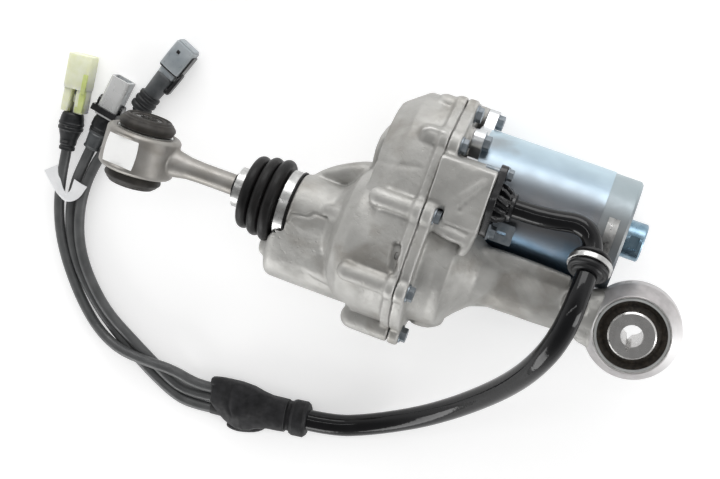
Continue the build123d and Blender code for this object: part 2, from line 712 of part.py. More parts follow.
def make_end_housing():
    """Right casting: end plate, bell, arm, eye, motor seat and gland block."""
    plate_x = parting_x + gasket_thickness
    face_x = plate_x + end_plate_thickness
    head_clear_x = face_x + bolt_head_height + 1
    spindle_bore = spindle_radius + spindle_bore_clearance
    with BuildPart() as housing:
        extrude(case_outline(plate_x, case_flange_rim), amount=end_plate_thickness)
        extrude(case_ears(plate_x), amount=end_plate_thickness)
        turned([(plate_x, 0), (plate_x, bell_radius + 1), (face_x, bell_radius + 1), (bell_end_x, bell_radius - 1),
                *[(bell_end_x + back, radius) for back, radius in bell_taper], (arm_full_end_x, arm_radius),
                (arm_slim_start_x, arm_slim_radius), (arm_end_x, arm_slim_radius), (arm_end_x, 0)],
               along(0, 0), Axis.X)
        turned([(0, -eye_half), (eye_face_radius, -eye_half), (eye_radius, -eye_rim_half),
                (eye_radius, eye_rim_half), (eye_face_radius, eye_half), (0, eye_half)], Plane.XZ, Axis.Z)
        with BuildSketch(Plane.XY.offset(clip_pad_low)):
            with Locations((clip_pad_x, clip_pad_y)):
                RectangleRounded(clip_pad_length, clip_pad_width, 3)
        extrude(amount=clip_pad_top - clip_pad_low)
        rod_along(motor_flange_x, motor_cap_end_x + motor_room, motor_y, motor_z, motor_radius + motor_room,
                  mode=Mode.SUBTRACT)
        for ear_y, ear_z in motor_ear_places():
            extrude(motor_ear_outline(ear_y, ear_z, motor_room), amount=motor_flange_thickness + motor_room,
                    mode=Mode.SUBTRACT)
        rod_along(plate_x, motor_flange_x, motor_y, motor_z, motor_pilot_radius + motor_seat_wall)
        for ear_y, ear_z in motor_ear_places():
            rod_along(plate_x, motor_flange_x, ear_y, ear_z, motor_ear_size)
        for start_x, low_y in ((plate_x, block_low_y + bolt_head_radius * 2), (head_clear_x, block_low_y)):
            with BuildSketch(across(start_x)) as block:
                with BuildLine():
                    Polyline((low_y, block_low_z), (low_y, block_top_z - block_slope_height),
                             (low_y + block_slope_width, block_top_z),
                             (block_high_y, block_top_z), (block_high_y, block_low_z), close=True)
                make_face()
                fillet(block.vertices().group_by(Axis.Z)[-1], radius=block_edge_radius)
            extrude(block.sketch, amount=block_end_x - start_x)
        with BuildSketch(Plane.XY.offset(block_top_z)):
            with Locations((plate_pad_x, plate_pad_y)):
                RectangleRounded(plate_pad_length, plate_pad_width, 1.5)
        extrude(amount=plate_pad_height)
        rod_along(plate_x, arm_bore_end_x, 0, 0, spindle_bore, mode=Mode.SUBTRACT)
        rod_along(plate_x, arm_pocket_end_x, arm_pocket_y, arm_pocket_z, arm_pocket_radius, mode=Mode.SUBTRACT)
        rod_along(plate_x, motor_flange_x, motor_y, motor_z, motor_pilot_radius, mode=Mode.SUBTRACT)
        rod_along(plate_x, block_end_x, gland_y, gland_z, gland_passage_radius, mode=Mode.SUBTRACT)
        with BuildSketch(Plane.XY.offset(-bush_sleeve_half)):
            Circle(eye_bore_radius)
        extrude(amount=2 * bush_sleeve_half, mode=Mode.SUBTRACT)
        case_holes(plate_x, face_x, case_bolt_radius + bolt_room)
        for ear_y, ear_z in motor_ear_places():
            rod_along(motor_flange_x - motor_bolt_depth - 1, motor_flange_x, ear_y, ear_z,
                      motor_bolt_radius + running_gap,
                      mode=Mode.SUBTRACT)
        for side in (-1, 1):
            rod_along(block_end_x - gland_screw_length, block_end_x, gland_y + side * gland_ear_offset, gland_z,
                      gland_screw_radius + running_gap, mode=Mode.SUBTRACT)
        with BuildSketch(Plane.XY.offset(clip_pad_top - clip_screw_length)):
            with Locations((clip_pad_x, clip_pad_y)):
                Circle(clip_screw_radius + running_gap)
        extrude(amount=clip_screw_length, mode=Mode.SUBTRACT)
    finish(housing, "end_housing")


def motor_ear_places():
    """Centres of the motor's flange ears, as (y, z)."""
    places = []
    for angle in motor_ear_angles:
        turn = math.radians(angle)
        places.append((motor_y + motor_ear_radius * math.cos(turn), motor_z + motor_ear_radius * math.sin(turn)))
    return places


def motor_ear_outline(ear_y, ear_z, grow):
    """Sketch of one ear of the motor's flange and its root, grown all round."""
    root_y = (ear_y + motor_y) / 2
    root_z = (ear_z + motor_z) / 2
    with BuildSketch(across(motor_flange_x)) as ear:
        two_circle_hull(ear_y, ear_z, motor_ear_size + grow, root_y, root_z,
                        motor_ear_size + motor_ear_root_extra + grow)
    return ear.sketch


def make_case_hardware():
    """Gasket, housing bolts and dowel pins at the parting plane."""
    plate_x = parting_x + gasket_thickness
    head_x = plate_x + end_plate_thickness
    with BuildPart() as gasket:
        extrude(case_outline(parting_x, case_flange_rim - 1), amount=gasket_thickness)
        extrude(case_outline(parting_x, 1 - case_wall), amount=gasket_thickness, mode=Mode.SUBTRACT)
        case_holes(parting_x, plate_x, case_bolt_radius + bolt_room)
    finish(gasket, "housing_gasket")

    with BuildPart() as bolts:
        for bolt_y, bolt_z, boss_x, boss_radius in bolt_places:
            rod_along(parting_x - bolt_length, head_x, bolt_y, bolt_z, case_bolt_radius)
            rod_along(head_x, head_x + washer_thickness, bolt_y, bolt_z, bolt_head_radius + washer_margin)
            with BuildSketch(across(head_x + washer_thickness)) as head:
                with Locations((bolt_y, bolt_z)):
                    RegularPolygon(bolt_head_radius, 6)
            extrude(head.sketch, amount=bolt_head_height - washer_thickness)
    finish(bolts, "housing_bolts")


# ---- belt drive and ball nut ----
def make_drive():
    """Ball nut, bearing, lock ring, both pulleys and the toothed belt's stand-in loop."""
    seat_end_x = bearing_start_x + bearing_width
    nut_bore = spindle_radius + running_gap
    with BuildPart() as nut:
        turned([(nut_start_x, nut_bore), (nut_start_x, nut_race_radius),
                (seat_end_x, nut_race_radius), (seat_end_x, nut_body_radius),
                (nut_end_x, nut_body_radius), (nut_end_x, nut_bore)], along(0, 0), Axis.X)
    finish(nut, "ball_nut")

    ring_outer = bearing_seat_radius - running_gap
    with BuildPart() as ring:
        turned([(bearing_start_x + running_gap, ring_outer - bearing_ring_wall),
                (bearing_start_x + running_gap, ring_outer), (seat_end_x, ring_outer),
                (seat_end_x, ring_outer - bearing_ring_wall)], along(0, 0), Axis.X)
    finish(ring, "nut_bearing_ring")

    ball_circle = nut_race_radius + running_gap + bearing_ball_radius
    with BuildPart() as balls:
        for row in (-1, 1):
            row_x = bearing_start_x + bearing_width / 2 + row * bearing_row_offset
            with PolarLocations(ball_circle, bearing_ball_count) as places:
                spots = places.locations
            for spot in spots:
                with Locations((row_x, spot.position.X, spot.position.Y)):
                    Sphere(bearing_ball_radius)
    finish(balls, "nut_bearing_balls")

    with BuildPart() as lock_ring:
        turned([(seat_end_x, lock_ring_bore), (seat_end_x, ring_outer),
                (seat_end_x + lock_ring_width - running_gap, ring_outer),
                (seat_end_x + lock_ring_width - running_gap, lock_ring_bore)], along(0, 0), Axis.X)
    finish(lock_ring, "bearing_lock_ring")

    pulley_x = belt_x - 1
    pulley_end = belt_x + belt_width + 1
    with BuildPart() as nut_pulley:
        rod_along(pulley_x, pulley_end, 0, 0, nut_pulley_radius)
        rod_along(pulley_x, pulley_end, 0, 0, nut_body_radius + running_gap, mode=Mode.SUBTRACT)
        with BuildSketch(across(pulley_x)):
            with PolarLocations((nut_pulley_radius + nut_body_radius) / 2, nut_pulley_hole_count):
                Circle(nut_pulley_hole_radius)
        extrude(amount=pulley_end - pulley_x, mode=Mode.SUBTRACT)
    finish(nut_pulley, "nut_pulley")

    with BuildPart() as motor_pulley:
        rod_along(pulley_x, pulley_end, motor_y, motor_z, motor_pulley_radius)
        rod_along(pulley_x, pulley_end, motor_y, motor_z, motor_shaft_radius + running_gap, mode=Mode.SUBTRACT)
    finish(motor_pulley, "motor_pulley")

    with BuildPart() as belt:
        with BuildSketch(across(belt_x)):
            two_circle_hull(0, 0, nut_pulley_radius + free_gap + belt_thickness,
                            motor_y, motor_z, motor_pulley_radius + free_gap + belt_thickness)
        extrude(amount=belt_width)
        with BuildSketch(across(belt_x)):
            two_circle_hull(0, 0, nut_pulley_radius + free_gap, motor_y, motor_z, motor_pulley_radius + free_gap)
        extrude(amount=belt_width, mode=Mode.SUBTRACT)
    finish(belt, "drive_belt")


def make_guide():
    """Guide bush and anti-rotation key in the neck of the gear case."""
    bush_outer = spindle_radius + guide_bush_wall - running_gap
    with BuildPart() as bush:
        rod_along(spigot_start_x + 1, spigot_start_x + 1 + guide_bush_length, 0, 0, bush_outer)
        rod_along(spigot_start_x + 1, spigot_start_x + 1 + guide_bush_length, 0, 0,
                  spindle_radius + running_gap, mode=Mode.SUBTRACT)
    finish(bush, "guide_bush")

    with BuildPart() as key:
        with BuildSketch(Plane.XY.offset(spindle_radius - guide_slot_depth + free_gap)):
            with Locations((guide_key_x, 0)):
                Rectangle(guide_key_length, guide_key_width)
        extrude(amount=guide_key_height - free_gap)
    finish(key, "guide_key")


# ---- motor ----
def motor_ring(x_from, x_to, inner, outer):
    """Ring about the motor axis inside the current part."""
    turned([(x_from, inner), (x_from, outer), (x_to, outer), (x_to, inner)], along(motor_y, motor_z),
           axis_along(motor_y, motor_z))


def make_motor():
    """Motor flange, can, stator, rotor, shaft, bearings, end cap, sensor board and plug."""
    flange_end_x = motor_flange_x + motor_flange_thickness
    bearing_outer = motor_bearing_radius
    cap_edge = motor_cap_end_x - motor_cap_chamfer
    with BuildPart() as flange:
        motor_ring(motor_flange_x, flange_end_x, bearing_outer + running_gap, motor_radius)
        for ear_y, ear_z in motor_ear_places():
            extrude(motor_ear_outline(ear_y, ear_z, 0), amount=motor_flange_thickness)
            rod_along(motor_flange_x, flange_end_x, ear_y, ear_z, motor_bolt_radius + bolt_room, mode=Mode.SUBTRACT)
        rod_along(motor_flange_x, flange_end_x, motor_y, motor_z, bearing_outer + running_gap, mode=Mode.SUBTRACT)
    finish(flange, "motor_flange")

    with BuildPart() as bolts:
        for ear_y, ear_z in motor_ear_places():
            rod_along(motor_flange_x - motor_bolt_depth, flange_end_x, ear_y, ear_z, motor_bolt_radius)
            with BuildSketch(across(flange_end_x)) as head:
                with Locations((ear_y, ear_z)):
                    RegularPolygon(bolt_head_radius, 6)
            extrude(head.sketch, amount=bolt_head_height)
    finish(bolts, "motor_bolts")

    with BuildPart() as can:
        motor_ring(flange_end_x, motor_case_end_x, motor_radius - motor_wall, motor_radius)
    finish(can, "motor_case")

    with BuildPart() as stator:
        motor_ring(rotor_start_x - 4, rotor_end_x + 4, stator_bore_radius, motor_radius - motor_wall - running_gap)
    finish(stator, "stator_core")

    with BuildPart() as rotor:
        motor_ring(rotor_start_x, rotor_end_x, motor_shaft_radius + running_gap, rotor_radius)
    finish(rotor, "rotor")

    rear_bearing_x = motor_case_end_x + 2
    with BuildPart() as shaft:
        rod_along(belt_x - 1, rear_bearing_x + motor_bearing_width, motor_y, motor_z, motor_shaft_radius)
    finish(shaft, "motor_shaft")

    with BuildPart() as bearings:
        for bearing_x in (motor_flange_x + 0.5, rear_bearing_x):
            motor_ring(bearing_x, bearing_x + motor_bearing_width, motor_shaft_radius + running_gap, bearing_outer)
    finish(bearings, "motor_bearings")

    cap_inner = motor_cap_radius - motor_cap_wall
    plug_shank_radius = motor_plug_radius - motor_plug_shoulder
    web_x = motor_cap_end_x - motor_cap_wall
    with BuildPart() as cap:
        turned([(motor_case_end_x, cap_inner), (motor_case_end_x, motor_cap_radius),
                (cap_edge, motor_cap_radius), (motor_cap_end_x, motor_cap_radius - motor_cap_chamfer),
                (motor_cap_end_x, plug_shank_radius + running_gap), (web_x, plug_shank_radius + running_gap),
                (web_x, bearing_outer + running_gap), (rear_bearing_x, bearing_outer + running_gap),
                (rear_bearing_x, bearing_outer + motor_hub_wall), (web_x, bearing_outer + motor_hub_wall),
                (web_x, cap_inner)],
               along(motor_y, motor_z), axis_along(motor_y, motor_z))
    finish(cap, "motor_end_cap")

    with BuildPart() as board:
        motor_ring(motor_case_end_x + 0.4, motor_case_end_x + 0.4 + board_thickness,
                   motor_shaft_radius + 2, cap_inner - running_gap)
    finish(board, "sensor_board")

    shank_x = motor_cap_end_x - motor_plug_shank
    with BuildPart() as plug:
        turned([(shank_x, 0), (shank_x, plug_shank_radius), (motor_cap_end_x, plug_shank_radius),
                (motor_cap_end_x, motor_plug_radius),
                (motor_cap_end_x + motor_plug_length - 1, motor_plug_radius),
                (motor_cap_end_x + motor_plug_length, motor_plug_radius - 1),
                (motor_cap_end_x + motor_plug_length, 0)], along(motor_y, motor_z), axis_along(motor_y, motor_z))
        with BuildSketch(Plane.XY.offset(motor_z + motor_plug_radius - motor_window_depth)):
            with Locations((motor_window_x, motor_y)):
                RectangleRounded(*motor_window, 1)
        extrude(amount=motor_window_depth + 1, mode=Mode.SUBTRACT)
    finish(plug, "motor_end_plug")


# ---- cable gland, tab, clip, grommet and strap ----
def make_gland():
    """Ribbed cable gland with two ears, its screws and the sheet tab under one of them."""
    flange_end_x = block_end_x + gland_flange_thickness
    cone_end_x = flange_end_x + gland_cone_length
    rib_reach, rib_width, rib_length = gland_rib
    end_x = block_end_x + gland_length
    with BuildPart() as gland:
        with BuildSketch(across(block_end_x)):
            with Locations((gland_y, gland_z)):
                Circle(gland_radius)
            with Locations((gland_y - gland_ear_offset, gland_z), (gland_y + gland_ear_offset, gland_z)):
                Circle(gland_screw_radius + gland_ear_margin)
            make_hull()
        extrude(amount=gland_flange_thickness)
        turned([(flange_end_x, 0), (flange_end_x, gland_radius - gland_cone_step), (cone_end_x, gland_snout_radius),
                (end_x, gland_snout_radius), (end_x, 0)], along(gland_y, gland_z), axis_along(gland_y, gland_z))
        with BuildSketch(across(flange_end_x)):
            with Locations((gland_y, gland_z)):
                with PolarLocations(gland_radius - gland_rib_centre_step, gland_rib_count):
                    Rectangle(rib_reach, rib_width)
        extrude(amount=rib_length)
        rod_along(end_x - gland_socket_depth, end_x, gland_y, gland_z, lead_radius + running_gap, mode=Mode.SUBTRACT)
        rod_along(block_end_x, end_x, gland_y, gland_z, lead_radius - gland_bore_step, mode=Mode.SUBTRACT)
        for side in (-1, 1):
            rod_along(block_end_x, flange_end_x, gland_y + side * gland_ear_offset, gland_z,
                      gland_screw_radius + bolt_room, mode=Mode.SUBTRACT)
    finish(gland, "cable_gland")

    with BuildPart() as screws:
        for side, lift in ((-1, gland_tab_thickness), (1, 0.0)):
            screw_y = gland_y + side * gland_ear_offset
            head_x = flange_end_x + lift
            rod_along(block_end_x - gland_screw_length + 1, head_x, screw_y, gland_z, gland_screw_radius)
            rod_along(head_x, head_x + gland_washer_thickness, screw_y, gland_z,
                      gland_screw_radius + gland_washer_margin)
            with BuildSketch(across(head_x + gland_washer_thickness)) as head:
                with Locations((screw_y, gland_z)):
                    RegularPolygon(gland_screw_radius + gland_screw_margin, 6)
            extrude(head.sketch, amount=gland_screw_head)
    finish(screws, "gland_screws")

    tab_y = gland_y - gland_ear_offset
    foot_length, foot_width = gland_tab_foot
    leaf_top_z = gland_z + gland_tab_rise
    with BuildPart() as tab:
        with BuildSketch(across(flange_end_x)) as leaf:
            with Locations((tab_y, (leaf_top_z + gland_tab_low_z) / 2)):
                Rectangle(gland_tab_width, leaf_top_z - gland_tab_low_z)
        extrude(leaf.sketch, amount=gland_tab_thickness)
        with BuildSketch(Plane.XY.offset(gland_tab_low_z)):
            with Locations((flange_end_x + foot_length / 2, tab_y - 1)):
                RectangleRounded(foot_length, foot_width, 1)
                SlotOverall(*gland_tab_slot, mode=Mode.SUBTRACT)
        extrude(amount=gland_tab_thickness)
        rod_along(flange_end_x, flange_end_x + gland_tab_thickness, tab_y, gland_z,
                  gland_screw_radius + bolt_room, mode=Mode.SUBTRACT)
    finish(tab, "gland_tab")


def make_clip():
    """Grommet in its spring clip, the clip's leg and foot, its screw, and the motor strap."""
    grommet_plane = Plane(origin=grommet_centre, x_dir=(1, 0, 0), z_dir=grommet_direction)
    grommet_axis = Axis(grommet_centre, grommet_direction)
    radial = grommet_direction.cross(Vector(1, 0, 0))
    turning_plane = Plane(origin=grommet_centre, x_dir=(1, 0, 0), z_dir=radial)
    side = 1 if turning_plane.y_dir.dot(grommet_direction) > 0 else -1
    bore = lead_radius + running_gap
    groove_half = clip_ring_width / 2 + running_gap
    with BuildPart() as grommet:
        turned([(bore, -side * grommet_half), (grommet_radius - 2, -side * grommet_half),
                (grommet_radius, -side * (grommet_half - 2)), (grommet_radius, -side * groove_half),
                (grommet_groove_radius, -side * groove_half), (grommet_groove_radius, side * groove_half),
                (grommet_radius, side * groove_half), (grommet_radius, side * (grommet_half - 2)),
                (grommet_radius - 2, side * grommet_half), (bore, side * grommet_half)],
               turning_plane, grommet_axis)
    finish(grommet, "cable_grommet")

    ring_inner = grommet_groove_radius + running_gap
    ring_outer = ring_inner + clip_ring_thickness
    foot_top = clip_pad_top + clip_ring_thickness
    pad_edge = clip_pad_y + clip_pad_width / 2
    foot_end_y = clip_pad_y - clip_leg_width / 2
    down = Vector(0, -abs(grommet_direction.Z), -abs(grommet_direction.Y))
    meet = grommet_centre + down * (ring_inner + clip_ring_thickness / 2)
    with BuildPart() as clip:
        with BuildSketch(grommet_plane.offset(-clip_ring_width / 2)):
            Circle(ring_outer)
            Circle(ring_inner, mode=Mode.SUBTRACT)
        extrude(amount=clip_ring_width)
        with BuildSketch(across(clip_pad_x - clip_leg_width / 2)) as leg:
            with BuildLine():
                Polyline((foot_end_y, clip_pad_top), (pad_edge + clip_leg_reach, clip_pad_top),
                         (meet.Y + 0.7, meet.Z - 0.5), (meet.Y - 0.7, meet.Z + 0.5),
                         (pad_edge + clip_leg_reach - 1, foot_top), (foot_end_y, foot_top), close=True)
            make_face()
        extrude(leg.sketch, amount=clip_leg_width)
        with BuildSketch(grommet_plane.offset(-clip_ring_width / 2)) as opening:
            Circle(ring_inner)
        extrude(opening.sketch, amount=clip_ring_width, mode=Mode.SUBTRACT)
        with BuildSketch(Plane.XY.offset(clip_pad_top)) as hole:
            with Locations((clip_pad_x, clip_pad_y)):
                Circle(clip_screw_radius + bolt_room)
        extrude(hole.sketch, amount=clip_ring_thickness, mode=Mode.SUBTRACT)
    finish(clip, "cable_clip")

    with BuildPart() as screw:
        with BuildSketch(Plane.XY.offset(foot_top - clip_screw_length)) as shank:
            with Locations((clip_pad_x, clip_pad_y)):
                Circle(clip_screw_radius)
        extrude(shank.sketch, amount=clip_screw_length)
        with BuildSketch(Plane.XY.offset(foot_top)) as head:
            with Locations((clip_pad_x, clip_pad_y)):
                RegularPolygon(clip_screw_radius + clip_screw_margin, 6)
        extrude(head.sketch, amount=clip_screw_head)
    finish(screw, "clip_screw")

    strap_inner = motor_cap_radius + running_gap
    motor_centre = Vector(motor_y, motor_z)
    toward = Vector(math.cos(math.radians(strap_tongue_angle)), math.sin(math.radians(strap_tongue_angle)))
    tongue_outer = motor_centre + toward * (strap_inner + strap_thickness + 0.5)
    tongue_inner = motor_centre + toward * (strap_inner + 0.4)
    with BuildPart() as strap:
        with BuildSketch(across(strap_x)) as band:
            with Locations((motor_y, motor_z)):
                Circle(strap_inner + strap_thickness)
                Circle(strap_inner, mode=Mode.SUBTRACT)
            with BuildLine():
                Polyline((motor_y, motor_z), *[(motor_y + reach, motor_z + strap_height) for reach in strap_span],
                         close=True)
            make_face(mode=Mode.INTERSECT)
        extrude(band.sketch, amount=strap_width)
        with BuildSketch(across(strap_x)) as tongue:
            with BuildLine():
                Polyline((pad_edge, tongue_z - 0.6), (pad_edge, tongue_z + 0.6), (tongue_outer.X, tongue_outer.Y),
                         (tongue_inner.X, tongue_inner.Y), close=True)
            make_face()
        extrude(tongue.sketch, amount=strap_width - 1)
    finish(strap, "motor_strap")


# ---- cables, splitter and plugs ----
lead_end_x = block_end_x + gland_length - gland_socket_depth
lead_points = [
    (lead_end_x, gland_y, gland_z),
    (-83.0, gland_y, gland_z),
    (-62.0, 57.0, 33.0),
    (grommet_x, 59.4, 27.0),
]
lead_radii = [60.0, 40.0, 12.0]
main_cable_points = [
    (-40, 5, 63.5), (-43, -13, 60), (-48.5, -30, 48), (-56, -47, 31.5), (-66, -64, 13.5), (-78.5, -81, -4),
    (-92.5, -97.5, -20), (-109, -113.5, -33), (-127.5, -127.5, -42), (-147, -139.5, -47),
]
branch_1_points = [
    (-292, -159.8, -44.5), (-306, -160.5, -42.5), (-325, -161, -42.8), (-344, -157.5, -48.5),
    (-364, -145, branch_z), (-383, -124, branch_z), (-398, -100, branch_z), (-408, -76, -52.6),
]
branch_2_points = [
    (-284, -174.6, branch_z), (-308.5, -167.5, branch_z), (-334, -154, branch_z), (-358, -138, branch_z),
    (-378, -117.5, branch_z), (-392, -94, branch_z), (-399.8, -72, branch_z), (-402, -54, -52.6),
]
branch_3_points = [
    (-282, -166.2, branch_z), (-304, -160, branch_z), (-329, -146.6, branch_z), (-350.5, -130, branch_z),
    (-369.5, -110, branch_z), (-382, -88, branch_z), (-388.4, -65, branch_z), (-389, -42, branch_z),
    (-385, -22, -53),
]


def plug_plane(plug, distance):
    """Plane square to a plug's axis at a distance from its cable; local x is across, local y is up."""
    plug_x, plug_y, turn, height = plug
    forward = Vector(1, 0, 0).rotate(Axis.Z, turn)
    origin = Vector(plug_x, plug_y, floor_z + height) + forward * distance
    return Plane(origin=origin, x_dir=forward.cross(Vector(0, 0, 1)), z_dir=forward)


def splitter_plane(distance, half_height):
    """Plane square to the splitter's axis, centred where a section of this height lies on the floor."""
    origin = Vector(splitter_x, splitter_y, floor_z + half_height) + splitter_direction * distance
    return Plane(origin=origin, x_dir=splitter_side, z_dir=splitter_direction)


def branch_route(lane, rise, middle, plug):
    """Whole route of a branch: straight out of the splitter, its own points, straight into its plug."""
    start = Vector(splitter_x, splitter_y, branch_z + rise) + splitter_direction * splitter_sections[-1][0]
    start = start + splitter_side * lane
    leave = start + splitter_direction * branch_run_out
    arrive = plug_plane(plug, -branch_run_in).origin
    end = plug_plane(plug, 0).origin
    return [tuple(start), tuple(leave)] + middle + [tuple(arrive), tuple(end)]


def make_cables():
    """Held lead, free main cable and the three branches."""
    lead_end = grommet_centre + grommet_direction * lead_run_through
    cable_tube(lead_points + [tuple(lead_end)], lead_radii, lead_radius, "motor_lead")
    splitter_mouth = splitter_plane(0, splitter_collar[1]).origin
    main_route = [lead_end, grommet_centre + grommet_direction * main_run_out] + main_cable_points
    main_route += [splitter_mouth - splitter_direction * main_run_in, splitter_mouth]
    cable_tube(main_route, corner_radii(main_route), main_cable_radius, "main_cable")
    routes = [
        branch_route(-branch_spread, branch_rise, branch_1_points, plug_1),
        branch_route(branch_spread, 0.0, branch_2_points, plug_2),
        branch_route(0.0, 0.0, branch_3_points, plug_3),
    ]
    for number, route in enumerate(routes, start=1):
        cable_tube(route, corner_radii(route), branch_radius, f"branch_cable_{number}")


def make_splitter():
    """Moulded splitter: an oval collar and a flattened body that widens to three cables."""
    half_width, half_height, length = splitter_collar
    with BuildPart() as splitter:
        with BuildSketch(splitter_plane(0, half_height)):
            Ellipse(half_width, half_height)
        extrude(amount=length)
        outlines = []
        for distance, wide, high in splitter_sections:
            with BuildSketch(splitter_plane(distance, high + splitter_body_lift)) as section:
                Ellipse(wide, high)
            outlines.append(section.sketch)
        loft(outlines, ruled=True)
    finish(splitter, "cable_splitter")


def make_backshell(plug, profile, name):
    """Turned cable boot of a plug."""
    length = profile[-1][0]
    base = plug_plane(plug, 0)
    turning_plane = Plane(origin=base.origin, x_dir=base.z_dir, z_dir=base.y_dir)
    side = 1 if turning_plane.y_dir.dot(base.x_dir) > 0 else -1
    outline = [(0, 0)] + [(distance, side * radius) for distance, radius in profile] + [(length, 0)]
    with BuildPart() as backshell:
        turned(outline, turning_plane, Axis(base.origin, base.z_dir))
    finish(backshell, name)


def connector_body(plug, start, size, open_end):
    """Rounded connector shell on its plug's axis, with a socket at its far end where it is open."""
    length, width, height = size
    with BuildPart() as shell:
        with BuildSketch(plug_plane(plug, start)) as outline:
            RectangleRounded(width, height, connector_corner)
        extrude(outline.sketch, amount=length)
        if open_end:
            with BuildSketch(plug_plane(plug, start + length - socket_depth)) as socket:
                RectangleRounded(width - 2 * socket_wall, height - 2 * socket_wall, 1.2)
            extrude(socket.sketch, amount=socket_depth, mode=Mode.SUBTRACT)
            with BuildSketch(plug_plane(plug, start + length - socket_depth)) as contacts:
                with GridLocations(contact_pitch, contact_pitch, 3, 2):
                    Circle(contact_radius)
            extrude(contacts.sketch, amount=socket_depth - 1)
    return shell


def make_plugs():
    """Boots and connectors of the three branches, the locking lever and the label."""
    make_backshell(plug_1, backshell_1, "backshell_1")
    make_backshell(plug_2, backshell_2, "backshell_2")
    make_backshell(plug_3, backshell_3, "backshell_3")
    finish(connector_body(plug_1, backshell_1[-1][0], connector_1, False), "connector_1")
    finish(connector_body(plug_3, backshell_3[-1][0], connector_3, True), "connector_3")

    start = backshell_2[-1][0]
    length, width, height = connector_2
    shell = connector_body(plug_2, start, connector_2, True)
    pin_plane = plug_plane(plug_2, start + lever_pin_back)
    pin_base = Plane(origin=pin_plane.origin, x_dir=pin_plane.z_dir, z_dir=pin_plane.x_dir)
    arm_inner = width / 2 + free_gap
    with BuildPart() as connector:
        add(shell.part)
        for side in (-1, 1):
            with BuildSketch(pin_base.offset(side * (width / 2 - 1))) as pin:
                Circle(lever_pin_radius)
            extrude(pin.sketch, amount=side * (1 + free_gap + lever_arm_thickness))
    finish(connector, "connector_2")

    up = 1 if pin_base.y_dir.Z > 0 else -1
    post_near, post_far = lever_post
    bar_low = lever_bar_height - lever_bar_thickness
    with BuildPart() as lever:
        for side in (-1, 1):
            with BuildSketch(pin_base.offset(side * arm_inner)) as arm:
                Circle(lever_pin_radius + 2)
                with BuildLine():
                    Polyline((-post_far, 0), (-post_near, 0), (-post_near, up * lever_bar_height),
                             (-post_far, up * lever_bar_height), close=True)
                make_face()
                Circle(lever_pin_radius + running_gap, mode=Mode.SUBTRACT)
            extrude(arm.sketch, amount=side * lever_arm_thickness)
        with BuildSketch(pin_base.offset(-arm_inner - lever_arm_thickness)) as bar:
            with BuildLine():
                Polyline((-post_far, up * bar_low), (-post_near, up * bar_low), (-post_near, up * lever_bar_height),
                         (-post_far, up * lever_bar_height), close=True)
            make_face()
        extrude(bar.sketch, amount=2 * (arm_inner + lever_arm_thickness))
    finish(lever, "connector_lever")

    label_plane = plug_plane(plug_1, -label_back)
    label_z = floor_z + plug_1[3] + branch_radius + running_gap
    with BuildPart() as label:
        with BuildSketch(Plane(origin=(label_plane.origin.X, label_plane.origin.Y, label_z),
                               x_dir=(1, 0, 0), z_dir=(0, 0, 1))):
            RectangleRounded(*label_size, 1)
        extrude(amount=label_thickness)
    finish(label, "flag_label")


def make_dowels():
    """Two dowel pins across the parting plane."""
    with BuildPart() as dowels:
        for pin_y, pin_z in dowel_places:
            rod_along(parting_x - dowel_length / 2, parting_x + dowel_length / 2, pin_y, pin_z, dowel_radius)
    finish(dowels, "dowel_pins")


make_bushing()
make_rod_end()
make_ball_joint()
make_spindle()
make_bellows()
finish(make_gear_housing(), "gear_housing")
make_end_housing()
make_case_hardware()
make_dowels()
make_drive()
make_guide()
make_motor()
make_gland()
make_clip()
make_cables()
make_splitter()
make_plugs()
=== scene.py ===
"""Looks of an electric rear steering actuator with its cable tree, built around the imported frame.

Sizes are in millimetres and become metres where a mesh is made. The rod runs along X with the
eye of the arm at the origin, the object lies on the floor at floor height, and +Z points up.
"""

import json
import logging
import math
from dataclasses import dataclass
from enum import Enum

import bpy
import numpy as np
from mathutils import Matrix

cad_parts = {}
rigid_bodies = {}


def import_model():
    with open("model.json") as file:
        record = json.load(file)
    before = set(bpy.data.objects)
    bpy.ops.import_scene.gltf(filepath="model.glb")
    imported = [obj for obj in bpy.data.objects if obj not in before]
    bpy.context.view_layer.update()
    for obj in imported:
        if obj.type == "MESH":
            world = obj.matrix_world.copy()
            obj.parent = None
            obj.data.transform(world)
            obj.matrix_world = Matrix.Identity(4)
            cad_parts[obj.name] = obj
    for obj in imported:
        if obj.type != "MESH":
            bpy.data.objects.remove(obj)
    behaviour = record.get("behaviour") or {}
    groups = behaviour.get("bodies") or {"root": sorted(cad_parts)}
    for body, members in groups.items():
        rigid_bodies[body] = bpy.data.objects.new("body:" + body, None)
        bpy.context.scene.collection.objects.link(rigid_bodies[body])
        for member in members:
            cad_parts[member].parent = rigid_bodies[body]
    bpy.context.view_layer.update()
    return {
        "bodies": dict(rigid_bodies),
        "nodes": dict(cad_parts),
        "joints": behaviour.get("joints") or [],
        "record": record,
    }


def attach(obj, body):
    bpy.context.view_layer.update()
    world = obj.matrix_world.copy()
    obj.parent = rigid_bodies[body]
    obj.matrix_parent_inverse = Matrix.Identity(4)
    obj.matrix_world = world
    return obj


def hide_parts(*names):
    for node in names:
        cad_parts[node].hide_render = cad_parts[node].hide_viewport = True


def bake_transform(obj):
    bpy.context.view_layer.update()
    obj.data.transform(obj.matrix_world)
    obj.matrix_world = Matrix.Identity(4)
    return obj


log = logging.getLogger("actuator")

MM = 0.001
FLOOR_Z = -58.0
UP = np.array([0.0, 0.0, 1.0])
X_AXIS = np.array([1.0, 0.0, 0.0])
Y_AXIS = np.array([0.0, 1.0, 0.0])
ORIGIN = (0.0, 0.0, 0.0)
JOINT_CENTRE = np.array([-345.0, 0.0, 0.0])
BRANCH_Z = -53.75
CABLE_RADIUS = 3.75
HUB = 0.4
END_ROWS = 4


class Body(Enum):
    """The bodies that new pieces ride on."""

    HOUSING = "housing"
    ROD = "rod"


